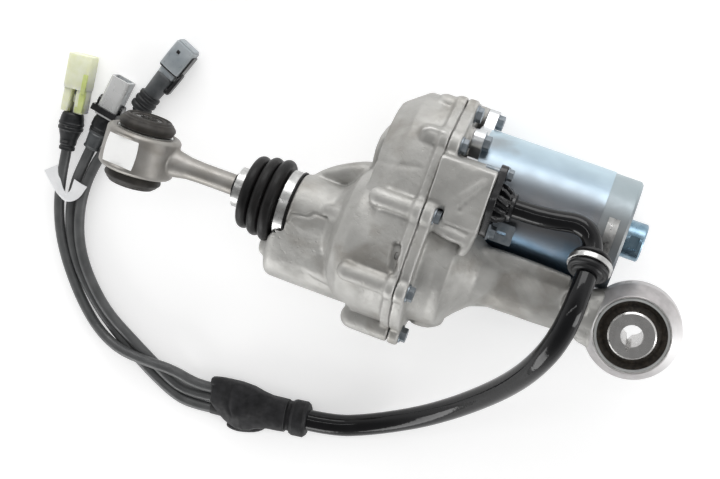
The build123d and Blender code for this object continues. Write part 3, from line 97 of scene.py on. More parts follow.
class Grain(Enum):
    """Ways in which a finish is textured."""

    CAST = "cast"
    SMOOTH = "smooth"
    TURNED = "turned about Z"


class NodeBench:
    """The node tree of one material, with short calls that add and join its nodes."""

    def __init__(self, name: str) -> None:
        """Starts a material that has only its principled shader.

        Args:
            name: Name of the material.
        """
        self.material = bpy.data.materials.new(name)
        self.material.use_nodes = True
        self.tree = self.material.node_tree
        self.shader = next(n for n in self.tree.nodes if n.type == "BSDF_PRINCIPLED")
        self.place = self.add("ShaderNodeTexCoord").outputs["Object"]

    def add(self, kind: str, inputs: dict | None = None, **settings: object) -> bpy.types.Node:
        """Adds a node.

        Args:
            kind: Blender's name of the node's class.
            inputs: Values or output sockets for its inputs, by name or number.
            **settings: Values for the node's own properties.

        Returns:
            The new node.
        """
        node = self.tree.nodes.new(kind)
        for key, value in settings.items():
            setattr(node, key, value)
        for key, value in (inputs or {}).items():
            if isinstance(value, bpy.types.NodeSocket):
                self.tree.links.new(value, node.inputs[key])
            else:
                node.inputs[key].default_value = value
        return node

    def noise(self, size: float, detail: float = 3.0, drag: float = 0.0) -> bpy.types.NodeSocket:
        """Cloudy pattern from 0 to 1.

        Args:
            size: Width of one cloud in millimetres.
            detail: How many finer layers it has.
            drag: How far the clouds are dragged.

        Returns:
            The pattern's value socket.
        """
        values = {"Vector": self.place, "Scale": 1.0 / (size * MM), "Detail": detail,
                  "Distortion": drag}
        return self.add("ShaderNodeTexNoise", values).outputs["Fac"]

    def ramp(self, value: bpy.types.NodeSocket, low: float, high: float, first: float = 0.0,
             last: float = 1.0) -> bpy.types.NodeSocket:
        """Spreads a value between two limits.

        Args:
            value: The socket to spread.
            low: Input that gives first.
            high: Input that gives last.
            first: Output at low.
            last: Output at high.

        Returns:
            The spread value's socket.
        """
        values = {0: value, 1: low, 2: high, 3: first, 4: last}
        return self.add("ShaderNodeMapRange", values, clamp=True).outputs[0]

    def maths(self, operation: str, first: object, second: object) -> bpy.types.NodeSocket:
        """One sum on two values or sockets, by Blender's name of the operation."""
        return self.add("ShaderNodeMath", {0: first, 1: second}, operation=operation).outputs[0]

    def blend(self, share: object, first: object, second: object) -> bpy.types.NodeSocket:
        """Mixes two colours.

        Args:
            share: Share of the second colour, a number or a socket.
            first: Colour or socket.
            second: Colour or socket.

        Returns:
            The mixed colour's socket.
        """
        values = {0: share, 6: opaque(first), 7: opaque(second)}
        return self.add("ShaderNodeMix", values, data_type="RGBA").outputs[2]

    def bump(self, heights: list) -> None:
        """Joins bumps to the shader, one after another.

        Args:
            heights: Pairs of a height socket and its depth in millimetres.
        """
        below = {}
        for height, depth in heights:
            values = {"Height": height, "Distance": depth * MM, "Strength": 1.0, **below}
            below = {"Normal": self.add("ShaderNodeBump", values).outputs[0]}
        self.set("Normal", below["Normal"])

    def set(self, name: str, value: object) -> None:
        """Sets or links one input of the principled shader.

        Args:
            name: Name of the input.
            value: Its value, or the socket that it is linked to.
        """
        if isinstance(value, bpy.types.NodeSocket):
            self.tree.links.new(value, self.shader.inputs[name])
        else:
            self.shader.inputs[name].default_value = value


def opaque(colour: object) -> object:
    """A colour with its alpha of 1; a socket is left as it is."""
    return colour if isinstance(colour, bpy.types.NodeSocket) else (*colour, 1.0)


MADE: dict = {}
# widths of the stains, the gloss and the pits, as shares of the finish's own clouds or grain
STAIN_WIDTH, GLOSS_WIDTH, PIT_WIDTH = 1.7, 0.6, 2.6
# width in millimetres of a casting's slow waves, and their depth and the pits' in depths of grain
WAVE_WIDTH, WAVE_DEPTH, PIT_DEPTH = 9.0, 9.0, 2.0
CLOUD_LIMITS = (0.35, 0.7)
STAIN_LIMITS = (0.52, 0.68, 0.0, 0.5)
PIT_LIMITS = (0.60, 0.75, 1.0, 0.0)
EDGE_LIMITS = (0.52, 0.60, 0.0)
HOLLOW_LIMITS = (0.40, 0.485)
HOLLOW_SHADE = 0.35
BAND_SHARE = 0.82
BAND_WAVE = 0.10
# colour of the lightened edges: partly wear, partly a painted highlight
EDGE_WEAR_AND_HIGHLIGHT = (0.86, 0.85, 0.83)
# colour of the painted highlight on turned rings
PAINTED_FAN_HIGHLIGHT = (0.95, 0.94, 0.94)


@dataclass(frozen=True)
class Finish:
    """A surface finish: two colours that cloud into each other, gloss that varies, and grain."""

    name: str
    colour: tuple
    second: tuple
    roughness: tuple = (0.4, 0.55)
    metallic: float = 0.0
    cloud: float = 20.0
    grain: Grain = Grain.SMOOTH
    grain_size: float = 1.0
    grain_depth: float = 0.01
    stain: tuple | None = None
    edge_light: float = 0.0
    specular: float = 0.5
    settings: tuple = ()
    slot: str = ""
    fan_highlight: float = 0.0
    tint_and_light_bands: tuple = ()

    def material(self) -> bpy.types.Material:
        """The finish's Blender material, made once and then shared.

        Returns:
            The material.
        """
        if self.name in MADE:
            return MADE[self.name]
        bench = NodeBench("finish_" + self.name)
        MADE[self.name] = bench.material
        clouds = bench.ramp(bench.noise(self.cloud, 4.0), *CLOUD_LIMITS)
        base = bench.blend(clouds, self.colour, self.second)
        # colour by Y, partly plating tint and partly painted light: a painted highlight towards +Y,
        # painted shade across the middle
        if self.tint_and_light_bands:
            base = bench.blend(BAND_SHARE, base, self.across(bench))
        # painted highlight: the turned ring's fan-shaped sheen, blended towards white on two sides
        if self.fan_highlight > 0.0:
            base = bench.blend(self.fan(bench), base, PAINTED_FAN_HIGHLIGHT)
        if self.stain is not None:
            patches = bench.ramp(bench.noise(self.cloud * STAIN_WIDTH, 6.0, 0.6), *STAIN_LIMITS)
            base = bench.blend(patches, base, self.stain)
        # convex edges painted lighter, partly as wear and partly as a painted highlight; hollows painted
        # darker as painted shade
        if self.edge_light > 0.0:
            point = bench.add("ShaderNodeNewGeometry").outputs["Pointiness"]
            edges = bench.ramp(point, *EDGE_LIMITS, self.edge_light)
            hollow = bench.ramp(point, *HOLLOW_LIMITS, self.edge_light, 0.0)
            base = bench.blend(edges, base, EDGE_WEAR_AND_HIGHLIGHT)
            base = bench.blend(hollow, base, tuple(HOLLOW_SHADE * c for c in self.second))
        patches = bench.noise(self.cloud * GLOSS_WIDTH, 5.0)
        gloss = bench.ramp(patches, *CLOUD_LIMITS, *self.roughness)
        for name, value in (("Base Color", base), ("Metallic", self.metallic), ("Roughness", gloss),
                            ("Specular IOR Level", self.specular), *self.settings):
            bench.set(name, value)
        bench.bump(self.heights(bench))
        return bench.material

    def across(self, bench: NodeBench) -> bpy.types.NodeSocket:
        """Colour by the distance along Y: partly the plating's own tint from side to side, partly
        painted light, lighter towards the +Y edge as a painted highlight and darker across the middle as
        painted shade.

        Args:
            bench: The material being made.

        Returns:
            The colour socket.
        """
        split = bench.add("ShaderNodeSeparateXYZ", {0: bench.place})
        low, high = self.tint_and_light_bands[0][0], self.tint_and_light_bands[-1][0]
        share = bench.add("ShaderNodeMapRange", {0: split.outputs["Y"], 1: low * MM, 2: high * MM})
        waves = bench.maths("MULTIPLY_ADD", bench.noise(30.0), BAND_WAVE)
        waves.node.inputs[2].default_value = -BAND_WAVE / 2
        ramp = bench.add("ShaderNodeValToRGB", {0: bench.maths("ADD", share.outputs[0], waves)})
        stops = ramp.color_ramp.elements
        for number, (place, colour) in enumerate(self.tint_and_light_bands):
            stop = stops[number] if number < 2 else stops.new(1.0)
            stop.position = (place - low) / (high - low)
            stop.color = (*colour, 1.0)
        return ramp.outputs[0]

    def fan(self, bench: NodeBench) -> bpy.types.NodeSocket:
        """Painted highlight: the bright fan-shaped sheen of a turned ring on its two sides, with the
        share fan_highlight (x^2 / (x^2 + y^2))^3.

        Args:
            bench: The material being made.

        Returns:
            The share socket.
        """
        flat = bench.add("ShaderNodeVectorMath", {0: bench.place, 1: (1.0, 1.0, 0.0)},
                         operation="MULTIPLY")
        way = bench.add("ShaderNodeVectorMath", {0: flat.outputs[0]}, operation="NORMALIZE")
        x = bench.add("ShaderNodeSeparateXYZ", {0: way.outputs[0]}).outputs["X"]
        share = bench.maths("POWER", bench.maths("MULTIPLY", x, x), 3.0)
        return bench.maths("MULTIPLY", share, self.fan_highlight)

    def heights(self, bench: NodeBench) -> list:
        """Height patterns of the grain.

        Args:
            bench: The material being made.

        Returns:
            Pairs of a height socket and its depth in millimetres.
        """
        depth = self.grain_depth
        if self.grain is Grain.TURNED:
            flat = bench.add("ShaderNodeVectorMath", {0: bench.place, 1: (1.0, 1.0, 0.0)},
                             operation="MULTIPLY").outputs[0]
            reach = bench.add("ShaderNodeVectorMath", {0: flat}, operation="LENGTH").outputs[1]
            values = {"W": reach, "Scale": 1.0 / (self.grain_size * MM), "Detail": 2.0}
            rings = bench.add("ShaderNodeTexNoise", values, noise_dimensions="1D")
            return [(rings.outputs["Fac"], depth)]
        fine = (bench.noise(self.grain_size, 2.0), depth)
        if self.grain is Grain.SMOOTH:
            return [fine]
        pits = bench.ramp(bench.noise(self.grain_size * PIT_WIDTH), *PIT_LIMITS)
        waves = bench.noise(WAVE_WIDTH, 2.0)
        return [(waves, depth * WAVE_DEPTH), fine, (pits, depth * PIT_DEPTH)]


CAST = Finish("cast_aluminium", (0.385, 0.380, 0.364), (0.490, 0.485, 0.466), (0.50, 0.66), 0.70, 18.0,
              Grain.CAST, 1.0, 0.075, stain=(0.22, 0.20, 0.172), edge_light=0.9)
TURNED = Finish("turned_aluminium", (0.55, 0.54, 0.53), (0.64, 0.63, 0.62), (0.24, 0.32), 1.0, 9.0,
                Grain.TURNED, 0.35, 0.02)
# the eye's turned faces, with a painted highlight on their two sides
TURNED_EYE = Finish("turned_eye", (0.36, 0.345, 0.345), (0.46, 0.44, 0.44), (0.28, 0.36), 0.55, 6.0,
                    Grain.TURNED, 0.30, 0.05, slot="turned_aluminium", fan_highlight=0.9)
# the milled flat: bare metal's light tone, painted near-white and without metal sheen as a painted
# highlight
MILLED_AND_HIGHLIT = Finish("highlit_milled_flat", (0.98, 0.98, 0.97), (1.0, 1.0, 0.99), (0.35, 0.42), 0.0, 4.0,
                grain_depth=0.004, slot="forged_rod")
GLAND_BLACK = Finish("gland_black", (0.006, 0.006, 0.007), (0.012, 0.012, 0.013), (0.20, 0.32), 0.0, 5.0,
                     grain_depth=0.006, slot="black_plastic")
PULLEY = Finish("pulley_aluminium", (0.6, 0.61, 0.62), (0.66, 0.67, 0.68), (0.3, 0.4), 1.0)
GROUND = Finish("ground_steel", (0.78, 0.79, 0.78), (0.88, 0.89, 0.88), (0.30, 0.42), 1.0,
                grain_depth=0.004)
FORGED = Finish("forged_rod", (0.285, 0.272, 0.252), (0.365, 0.352, 0.335), (0.42, 0.56), 0.80, 14.0,
                grain_size=0.7, grain_depth=0.03, stain=(0.20, 0.18, 0.155))
CLAMP = Finish("clamp_steel", (0.42, 0.42, 0.415), (0.58, 0.58, 0.57), (0.26, 0.38), 1.0, 4.0,
               grain_depth=0.006)
ZINC = Finish("zinc_steel", (0.20, 0.23, 0.255), (0.32, 0.345, 0.37), (0.42, 0.56), 0.95, 5.0)
BLUE_ZINC = Finish("blue_zinc", (0.17, 0.27, 0.35), (0.30, 0.41, 0.49), (0.24, 0.36), 0.92, 7.0,
                   grain_depth=0.012)
# the can's bands: its plating tint, blue below and grey-brown in the middle, with painted light over it:
# a painted highlight along the +Y edge, painted shade across the middle and on the rim past the
# highlight
ZINC_CAN = Finish("zinc_can", (0.20, 0.30, 0.40), (0.30, 0.40, 0.50), (0.30, 0.40), 0.90, 30.0,
                  grain_size=0.6, grain_depth=0.008, stain=(0.24, 0.22, 0.205),
                  tint_and_light_bands=((14.0, (0.09, 0.19, 0.31)), (33.0, (0.11, 0.20, 0.29)),
                         (43.0, (0.125, 0.12, 0.12)), (60.0, (0.165, 0.155, 0.15)),
                         (71.0, (0.20, 0.215, 0.225)), (80.0, (0.34, 0.42, 0.48)),
                         (88.0, (0.58, 0.72, 0.79)), (95.5, (0.50, 0.62, 0.70)),
                         (98.0, (0.14, 0.22, 0.29))))
# the end cap's bands: its own grey-blue tint, painted lighter towards the +Y edge as a painted highlight
END_CAP = Finish("end_cap_grey", (0.26, 0.29, 0.31), (0.34, 0.37, 0.39), (0.36, 0.48), 0.62, 10.0,
                 grain_depth=0.012,
                 tint_and_light_bands=((14.0, (0.13, 0.165, 0.20)), (34.0, (0.16, 0.18, 0.20)),
                        (56.0, (0.21, 0.215, 0.215)), (74.0, (0.21, 0.24, 0.255)),
                        (88.0, (0.40, 0.48, 0.51))))
STATOR = Finish("stator_steel", (0.28, 0.28, 0.30), (0.34, 0.34, 0.36), (0.4, 0.5), 0.9)
BRONZE = Finish("bronze", (0.58, 0.44, 0.24), (0.64, 0.50, 0.30), (0.3, 0.4), 1.0)
BUSH_RUBBER = Finish("bush_rubber", (0.012, 0.010, 0.008), (0.034, 0.027, 0.020), (0.46, 0.62), 0.0, 2.2,
                     Grain.CAST, 1.3, 0.22, specular=0.22)
BOOT_RUBBER = Finish("boot_rubber", (0.026, 0.024, 0.022), (0.052, 0.047, 0.042), (0.42, 0.55), 0.0, 7.0,
                     grain_depth=0.02, specular=0.22)
BELLOWS_RUBBER = Finish("bellows_rubber", (0.005, 0.005, 0.005), (0.011, 0.010, 0.010), (0.36, 0.48),
                        0.0, 8.0, grain_size=0.5, grain_depth=0.012, specular=0.22)
GROMMET_RUBBER = Finish("grommet_rubber", (0.006, 0.006, 0.007), (0.014, 0.014, 0.015), (0.32, 0.44),
                        0.0, 5.0, grain_depth=0.012, specular=0.35)
BELT = Finish("belt_rubber", (0.02, 0.02, 0.02), (0.03, 0.03, 0.03), (0.6, 0.7))
GASKET = Finish("gasket_fibre", (0.20, 0.195, 0.185), (0.28, 0.275, 0.265), (0.6, 0.75),
                grain_depth=0.03)
LINER = Finish("liner_plastic", (0.70, 0.68, 0.60), (0.76, 0.74, 0.66), (0.4, 0.5))
BOARD = Finish("board_green", (0.03, 0.17, 0.08), (0.05, 0.22, 0.11), (0.35, 0.45))
BLACK_PLASTIC = Finish("black_plastic", (0.006, 0.006, 0.007), (0.014, 0.014, 0.015), (0.18, 0.28),
                       0.0, 5.0, grain_depth=0.006)
SPLITTER_BLACK = Finish("splitter_black", (0.012, 0.012, 0.013), (0.026, 0.026, 0.028), (0.46, 0.62),
                        0.0, 5.0, grain_size=0.45, grain_depth=0.03, edge_light=0.08, specular=0.22)
BACKSHELL = Finish("backshell_black", (0.010, 0.011, 0.012), (0.022, 0.023, 0.025), (0.34, 0.46),
                   0.0, 5.0, grain_size=0.4, grain_depth=0.02, edge_light=0.10, specular=0.3)
BACKSHELL_GREY = Finish("backshell_grey", (0.055, 0.060, 0.064), (0.085, 0.090, 0.094), (0.32, 0.44),
                        0.0, 5.0, grain_size=0.4, grain_depth=0.02, edge_light=0.10,
                        slot="backshell_black")
CABLE_BLACK = Finish("cable_black", (0.0025, 0.0025, 0.003), (0.006, 0.006, 0.007), (0.07, 0.13),
                     0.0, 18.0, grain_size=3.2, grain_depth=0.08, specular=0.27,
                     settings=(("Coat Weight", 0.06), ("Coat Roughness", 0.06)))
CABLE_GREY = Finish("cable_grey", (0.062, 0.064, 0.065), (0.098, 0.100, 0.101), (0.34, 0.46), 0.0, 12.0,
                    grain_size=1.4, grain_depth=0.02)
CONNECTOR_YELLOW = Finish("connector_yellow", (0.78, 0.80, 0.58), (0.84, 0.86, 0.70), (0.34, 0.5),
                          0.0, 6.0, grain_size=0.6, grain_depth=0.03,
                          settings=(("Subsurface Weight", 0.6), ("Subsurface Scale", 0.006),
                                    ("Subsurface Radius", (1.0, 1.0, 0.5))))
CONNECTOR_GREEN = Finish("connector_green", (0.56, 0.64, 0.22), (0.66, 0.73, 0.34), (0.3, 0.42),
                         0.0, 6.0, grain_size=0.6, grain_depth=0.02, slot="connector_yellow",
                         settings=(("Subsurface Weight", 0.5), ("Subsurface Scale", 0.004),
                                   ("Subsurface Radius", (1.0, 1.0, 0.4))))
CONNECTOR_PALE = Finish("connector_pale", (0.44, 0.46, 0.47), (0.56, 0.58, 0.59), (0.22, 0.34), 0.25,
                        edge_light=0.5)
CONNECTOR_BLUE = Finish("connector_blue", (0.26, 0.295, 0.32), (0.32, 0.355, 0.38), (0.26, 0.38),
                        0.1, 6.0, edge_light=0.5)
LABEL = Finish("label_white", (0.80, 0.81, 0.82), (0.88, 0.88, 0.89), (0.35, 0.5), 0.0, 8.0)

SLOT_FINISH = {
    finish.name: finish
    for finish in (
        CAST, TURNED, PULLEY, GROUND, FORGED, CLAMP, ZINC, BLUE_ZINC, ZINC_CAN, END_CAP, STATOR, BRONZE,
        BUSH_RUBBER, BOOT_RUBBER, BELLOWS_RUBBER, GROMMET_RUBBER, BELT, GASKET, LINER, BOARD,
        BLACK_PLASTIC, SPLITTER_BLACK, BACKSHELL, CABLE_BLACK, CABLE_GREY, CONNECTOR_YELLOW,
        CONNECTOR_PALE, CONNECTOR_BLUE, LABEL,
    )
}
NODE_FINISH = {"gland_tab": ZINC}


def unit(vector: object) -> np.ndarray:
    """A vector of length 1 in the same direction."""
    array = np.asarray(vector, float)
    return array / np.linalg.norm(array)


def around(count: int) -> np.ndarray:
    """Angles of evenly spaced points round a full turn."""
    return np.linspace(0.0, 2 * np.pi, count, endpoint=False)


def bell(distance: np.ndarray, half: float, power: float) -> np.ndarray:
    """Bell curve e^-(d / half)^n of a distance."""
    return np.exp(-((distance / half) ** power))


def block_ring(t: np.ndarray, power: object) -> tuple:
    """Section |x|^n + |z|^n = 1, as its x and z at the angles t.

    Args:
        t: Angles.
        power: The n of the formula: 2 is round and 8 is almost square.

    Returns:
        The two coordinates.
    """
    return tuple(np.sign(part) * np.abs(part) ** (2 / power) for part in (np.cos(t), np.sin(t)))


def eased(outline: list, cut: float, steps: int = 4) -> np.ndarray:
    """Rounds the corners of an open outline.

    Each corner b between a and c becomes (1-t)^2 s + 2 t (1-t) b + t^2 e, where s and e lie on the
    two runs, cut away from b or 0.45 of the run where that is less.

    Args:
        outline: Points of two or three coordinates.
        cut: Distance from a corner to the start of its rounding.
        steps: Points in each rounding.

    Returns:
        The rounded outline as an array with one point in a row.
    """
    p = np.asarray(outline, float)
    before, corner, after = p[:-2], p[1:-1], p[2:]
    first = np.linalg.norm(before - corner, axis=1, keepdims=True)
    last = np.linalg.norm(after - corner, axis=1, keepdims=True)
    start = corner + (before - corner) / first * np.minimum(cut, 0.45 * first)
    end = corner + (after - corner) / last * np.minimum(cut, 0.45 * last)
    t = np.linspace(0.0, 1.0, steps)[None, :, None]
    arcs = (1 - t) ** 2 * start[:, None] + 2 * t * (1 - t) * corner[:, None] + t**2 * end[:, None]
    return np.vstack([p[:1], arcs.reshape(-1, p.shape[1]), p[-1:]])


def turned(profile: np.ndarray, origin: object, axis: object, start: object, count: int = 96,
           ripple: object = 0.0) -> np.ndarray:
    """Grid of a turned surface.

    point(s, t) = origin + along(s) axis + (radius(s) + ripple(s, t)) (cos t start + sin t side)

    Args:
        profile: Rows of distance along the axis and radius.
        origin: Point on the axis where the distance is 0.
        axis: Direction of the axis.
        start: Direction square to the axis where the angle is 0.
        count: Points round the axis.
        ripple: Added to the radius, a row for each profile point and a column for each angle.

    Returns:
        The grid as rows, columns and coordinates.
    """
    axis, start = unit(axis), unit(start)
    t = around(count)[:, None]
    spokes = np.cos(t) * start + np.sin(t) * np.cross(axis, start)
    radius = np.broadcast_to(profile[:, 1:2] + ripple, (len(profile), count))
    return np.asarray(origin, float) + profile[:, :1, None] * axis + radius[:, :, None] * spokes


def skin(grid: np.ndarray, ring: bool = False) -> tuple:
    """Vertices and faces of a closed skin over a grid that goes round in its columns.

    Args:
        grid: Rows, columns and coordinates.
        ring: The rows close too, so there are no ends; otherwise a fan to its middle closes each end.

    Returns:
        The vertices and the list of faces, all outward.
    """
    rows, cols, _ = grid.shape
    points = grid.reshape(-1, 3)
    last = rows if ring else rows - 1
    i, j = np.meshgrid(np.arange(last), np.arange(cols), indexing="ij")
    up, right = (i + 1) % rows, (j + 1) % cols
    quads = np.stack([i * cols + j, i * cols + right, up * cols + right, up * cols + j], -1)
    quads = quads.reshape(-1, 4)
    faces = quads.tolist()
    if not ring:
        k = np.arange(cols)
        after, end = (k + 1) % cols, (rows - 1) * cols
        bottom = np.stack([np.full(cols, len(points)), after, k], -1)
        top = np.stack([np.full(cols, len(points) + 1), end + k, end + after], -1)
        points = np.vstack([points, grid[0].mean(0), grid[-1].mean(0)])
        faces += bottom.tolist() + top.tolist()
    middle = points.mean(0)
    a, b, c, d = (points[quads[:, n]] - middle for n in range(4))
    volume = np.einsum("ij,ij->i", a, np.cross(b, c)).sum()
    volume += np.einsum("ij,ij->i", a, np.cross(c, d)).sum()
    if volume < 0:
        faces = [face[::-1] for face in faces]
    return points, faces


def joined(parts: list) -> tuple:
    """Puts several skins into one.

    Args:
        parts: Pairs of vertices and faces.

    Returns:
        All vertices and all faces.
    """
    vertices, faces, count = [], [], 0
    for points, some in parts:
        vertices.append(points)
        faces += [[index + count for index in face] for face in some]
        count += len(points)
    return np.vstack(vertices), faces


def hulled(circles: list, count: int) -> np.ndarray:
    """Outline drawn tightly round several circles, as a band round wheels.

    The band's support in direction p is h(p) = max over circles of (centre . p + radius), and its reach
    in direction t is the least of h(p) / cos(t - p).

    Args:
        circles: Rows of two centre coordinates and a radius, round about the first one's centre.
        count: Points of the outline.

    Returns:
        Rows of two coordinates.
    """
    rows = np.asarray(circles, float)
    centre = rows[0, :2]
    p, t = around(5 * count), around(count)
    support = ((rows[:, :2] - centre) @ np.stack([np.cos(p), np.sin(p)]) + rows[:, 2:3]).max(0)
    slant = np.cos(t[:, None] - p[None, :])
    least = 0.05
    reach = np.where(slant > least, support / np.maximum(slant, least), 1e9).min(1)
    return centre + reach[:, None] * np.stack([np.cos(t), np.sin(t)], -1)


def plate(outline: np.ndarray, low: float, high: float, ease: float, frame: tuple) -> tuple:
    """Skin of a plate with an outline, whose two rims are rounded by quarter circles.

    point(s, i) = origin + x(i) u + y(i) v + s w, where x and y shrink towards the outline's middle by
    ease (1 - sin a) and s moves by ease (1 - cos a) as a goes from 0 to 90 degrees.

    Args:
        outline: Rows of two coordinates.
        low: Start of the plate along w.
        high: End of the plate along w.
        ease: Radius of the rounding.
        frame: Origin and the directions u, v and w.

    Returns:
        The vertices and the list of faces.
    """
    origin, u, v, w = (np.asarray(part, float) for part in frame)
    out = outline - outline.mean(0)
    out = out / np.linalg.norm(out, axis=1, keepdims=True)
    a = np.linspace(0.0, np.pi / 2, END_ROWS + 1)
    inset = np.concatenate([ease * (1 - np.sin(a)), ease * (1 - np.sin(a[::-1]))])
    place = np.concatenate([low + ease * (1 - np.cos(a)), high - ease * (1 - np.cos(a[::-1]))])
    flat = outline[None] - inset[:, None, None] * out[None]
    return skin(origin + flat[..., :1] * u + flat[..., 1:] * v + place[:, None, None] * w)


def bar(path: object, halves: object, up: object, power: float, ease: float, count: int = 32,
        steps: int = 1) -> tuple:
    """Skin of a bar whose section is a rounded block that changes along a path.

    The section is |x / a|^n + |z / b|^n = 1 with half sizes a across and b upwards, and both ends
    shrink over a quarter circle.

    Args:
        path: Points of the middle line.
        halves: Half sizes a and b at each point.
        up: Direction of b, made square to the path.
        power: The n of the formula: 2 is round and 8 is almost square.
        ease: Rounding of the ends.
        count: Points round the section.
        steps: Rows of each run, more of them bend smoothly.

    Returns:
        The vertices and the list of faces.
    """
    line, size = np.asarray(path, float), np.asarray(halves, float)
    if steps > 1:
        at = np.linspace(0.0, len(line) - 1.0, steps * (len(line) - 1) + 1)
        line, size = smooth_line(line, at), smooth_line(size, at)
    way = np.gradient(line, axis=0)
    way /= np.linalg.norm(way, axis=1, keepdims=True)
    across = np.cross(way, np.asarray(up, float))
    across /= np.linalg.norm(across, axis=1, keepdims=True)
    high = np.cross(across, way)
    a = np.linspace(0.0, np.pi / 2, END_ROWS + 1)[:-1]
    back = (ease * (1 - np.cos(a)))[:, None]
    thin = (ease * (1 - np.sin(a)))[:, None]
    rows = np.vstack([line[0] + way[0] * back, line[1:-1], line[-1] - way[-1] * back[::-1]])
    sizes = np.vstack([size[0] - thin, size[1:-1], size[-1] - thin[::-1]])
    across, high = (
        np.vstack([np.repeat(part[:1], END_ROWS, 0), part[1:-1], np.repeat(part[-1:], END_ROWS, 0)])
        for part in (across, high)
    )
    x, z = block_ring(around(count), power)
    return skin(rows[:, None] + (sizes[:, :1] * x)[..., None] * across[:, None]
                + (sizes[:, 1:] * z)[..., None] * high[:, None])


def smooth_line(points: np.ndarray, at: np.ndarray) -> np.ndarray:
    """Points on a curve through the given ones, a cubic between each two.

    Between b and c, with neighbours a and d, the point at the share t is half of
    2 b + (c - a) t + (2 a - 5 b + 4 c - d) t^2 + (3 b - a - 3 c + d) t^3.

    Args:
        points: The points that it goes through.
        at: Places along it, where n is point n.

    Returns:
        A row for each place.
    """
    padded = np.vstack([2 * points[0] - points[1], points, 2 * points[-1] - points[-2]])
    i = np.minimum(at.astype(int), len(points) - 2)
    t = (at - i)[:, None]
    a, b, c, d = (padded[i + n] for n in range(4))
    return 0.5 * (2 * b + (c - a) * t + (2 * a - 5 * b + 4 * c - d) * t**2
                  + (3 * b - a - 3 * c + d) * t**3)


def placed(name: str, data: bpy.types.ID) -> bpy.types.Object:
    """Puts data into the scene.

    Args:
        name: Name of the object.
        data: The mesh, curve, lamp or camera.

    Returns:
        The new object.
    """
    made = bpy.data.objects.new(name, data)
    bpy.context.scene.collection.objects.link(made)
    return made


def make_piece(name: str, shape: tuple, finish: Finish, nodes: tuple = (),
               body: Body | None = Body.HOUSING, sharp: float = 50.0) -> bpy.types.Object:
    """Makes an object from a skin and dresses it.

    Args:
        name: Name of the piece.
        shape: Its vertices in millimetres and its faces.
        finish: Its finish.
        nodes: CAD nodes that it stands for.
        body: The body that it rides on, or None, which leaves it on no body.
        sharp: Angle in degrees past which an edge is shaded sharp.

    Returns:
        The new object.
    """
    points, faces = shape
    mesh = bpy.data.meshes.new(name)
    mesh.from_pydata((points * MM).tolist(), [], faces)
    mesh.validate()
    mesh.shade_smooth()
    mesh.set_sharp_from_angle(angle=math.radians(sharp))
    return dress(placed(name, mesh), finish, nodes, body)


def dress(made: bpy.types.Object, finish: Finish, nodes: tuple, body: Body | None) -> bpy.types.Object:
    """Gives an object its finish as its material, puts it on its body and hides the CAD nodes that it
    stands for.

    Args:
        made: The object.
        finish: Its finish.
        nodes: CAD nodes that it stands for.
        body: The body that it rides on, or None, which leaves it on no body.

    Returns:
        The same object.
    """
    made.data.materials.clear()
    made.data.materials.append(finish.material())
    if body is not None:
        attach(made, body.value)
    if nodes:
        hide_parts(*nodes)
    log.info("piece %s on %s", made.name, body.value if body else "two bodies")
    return made


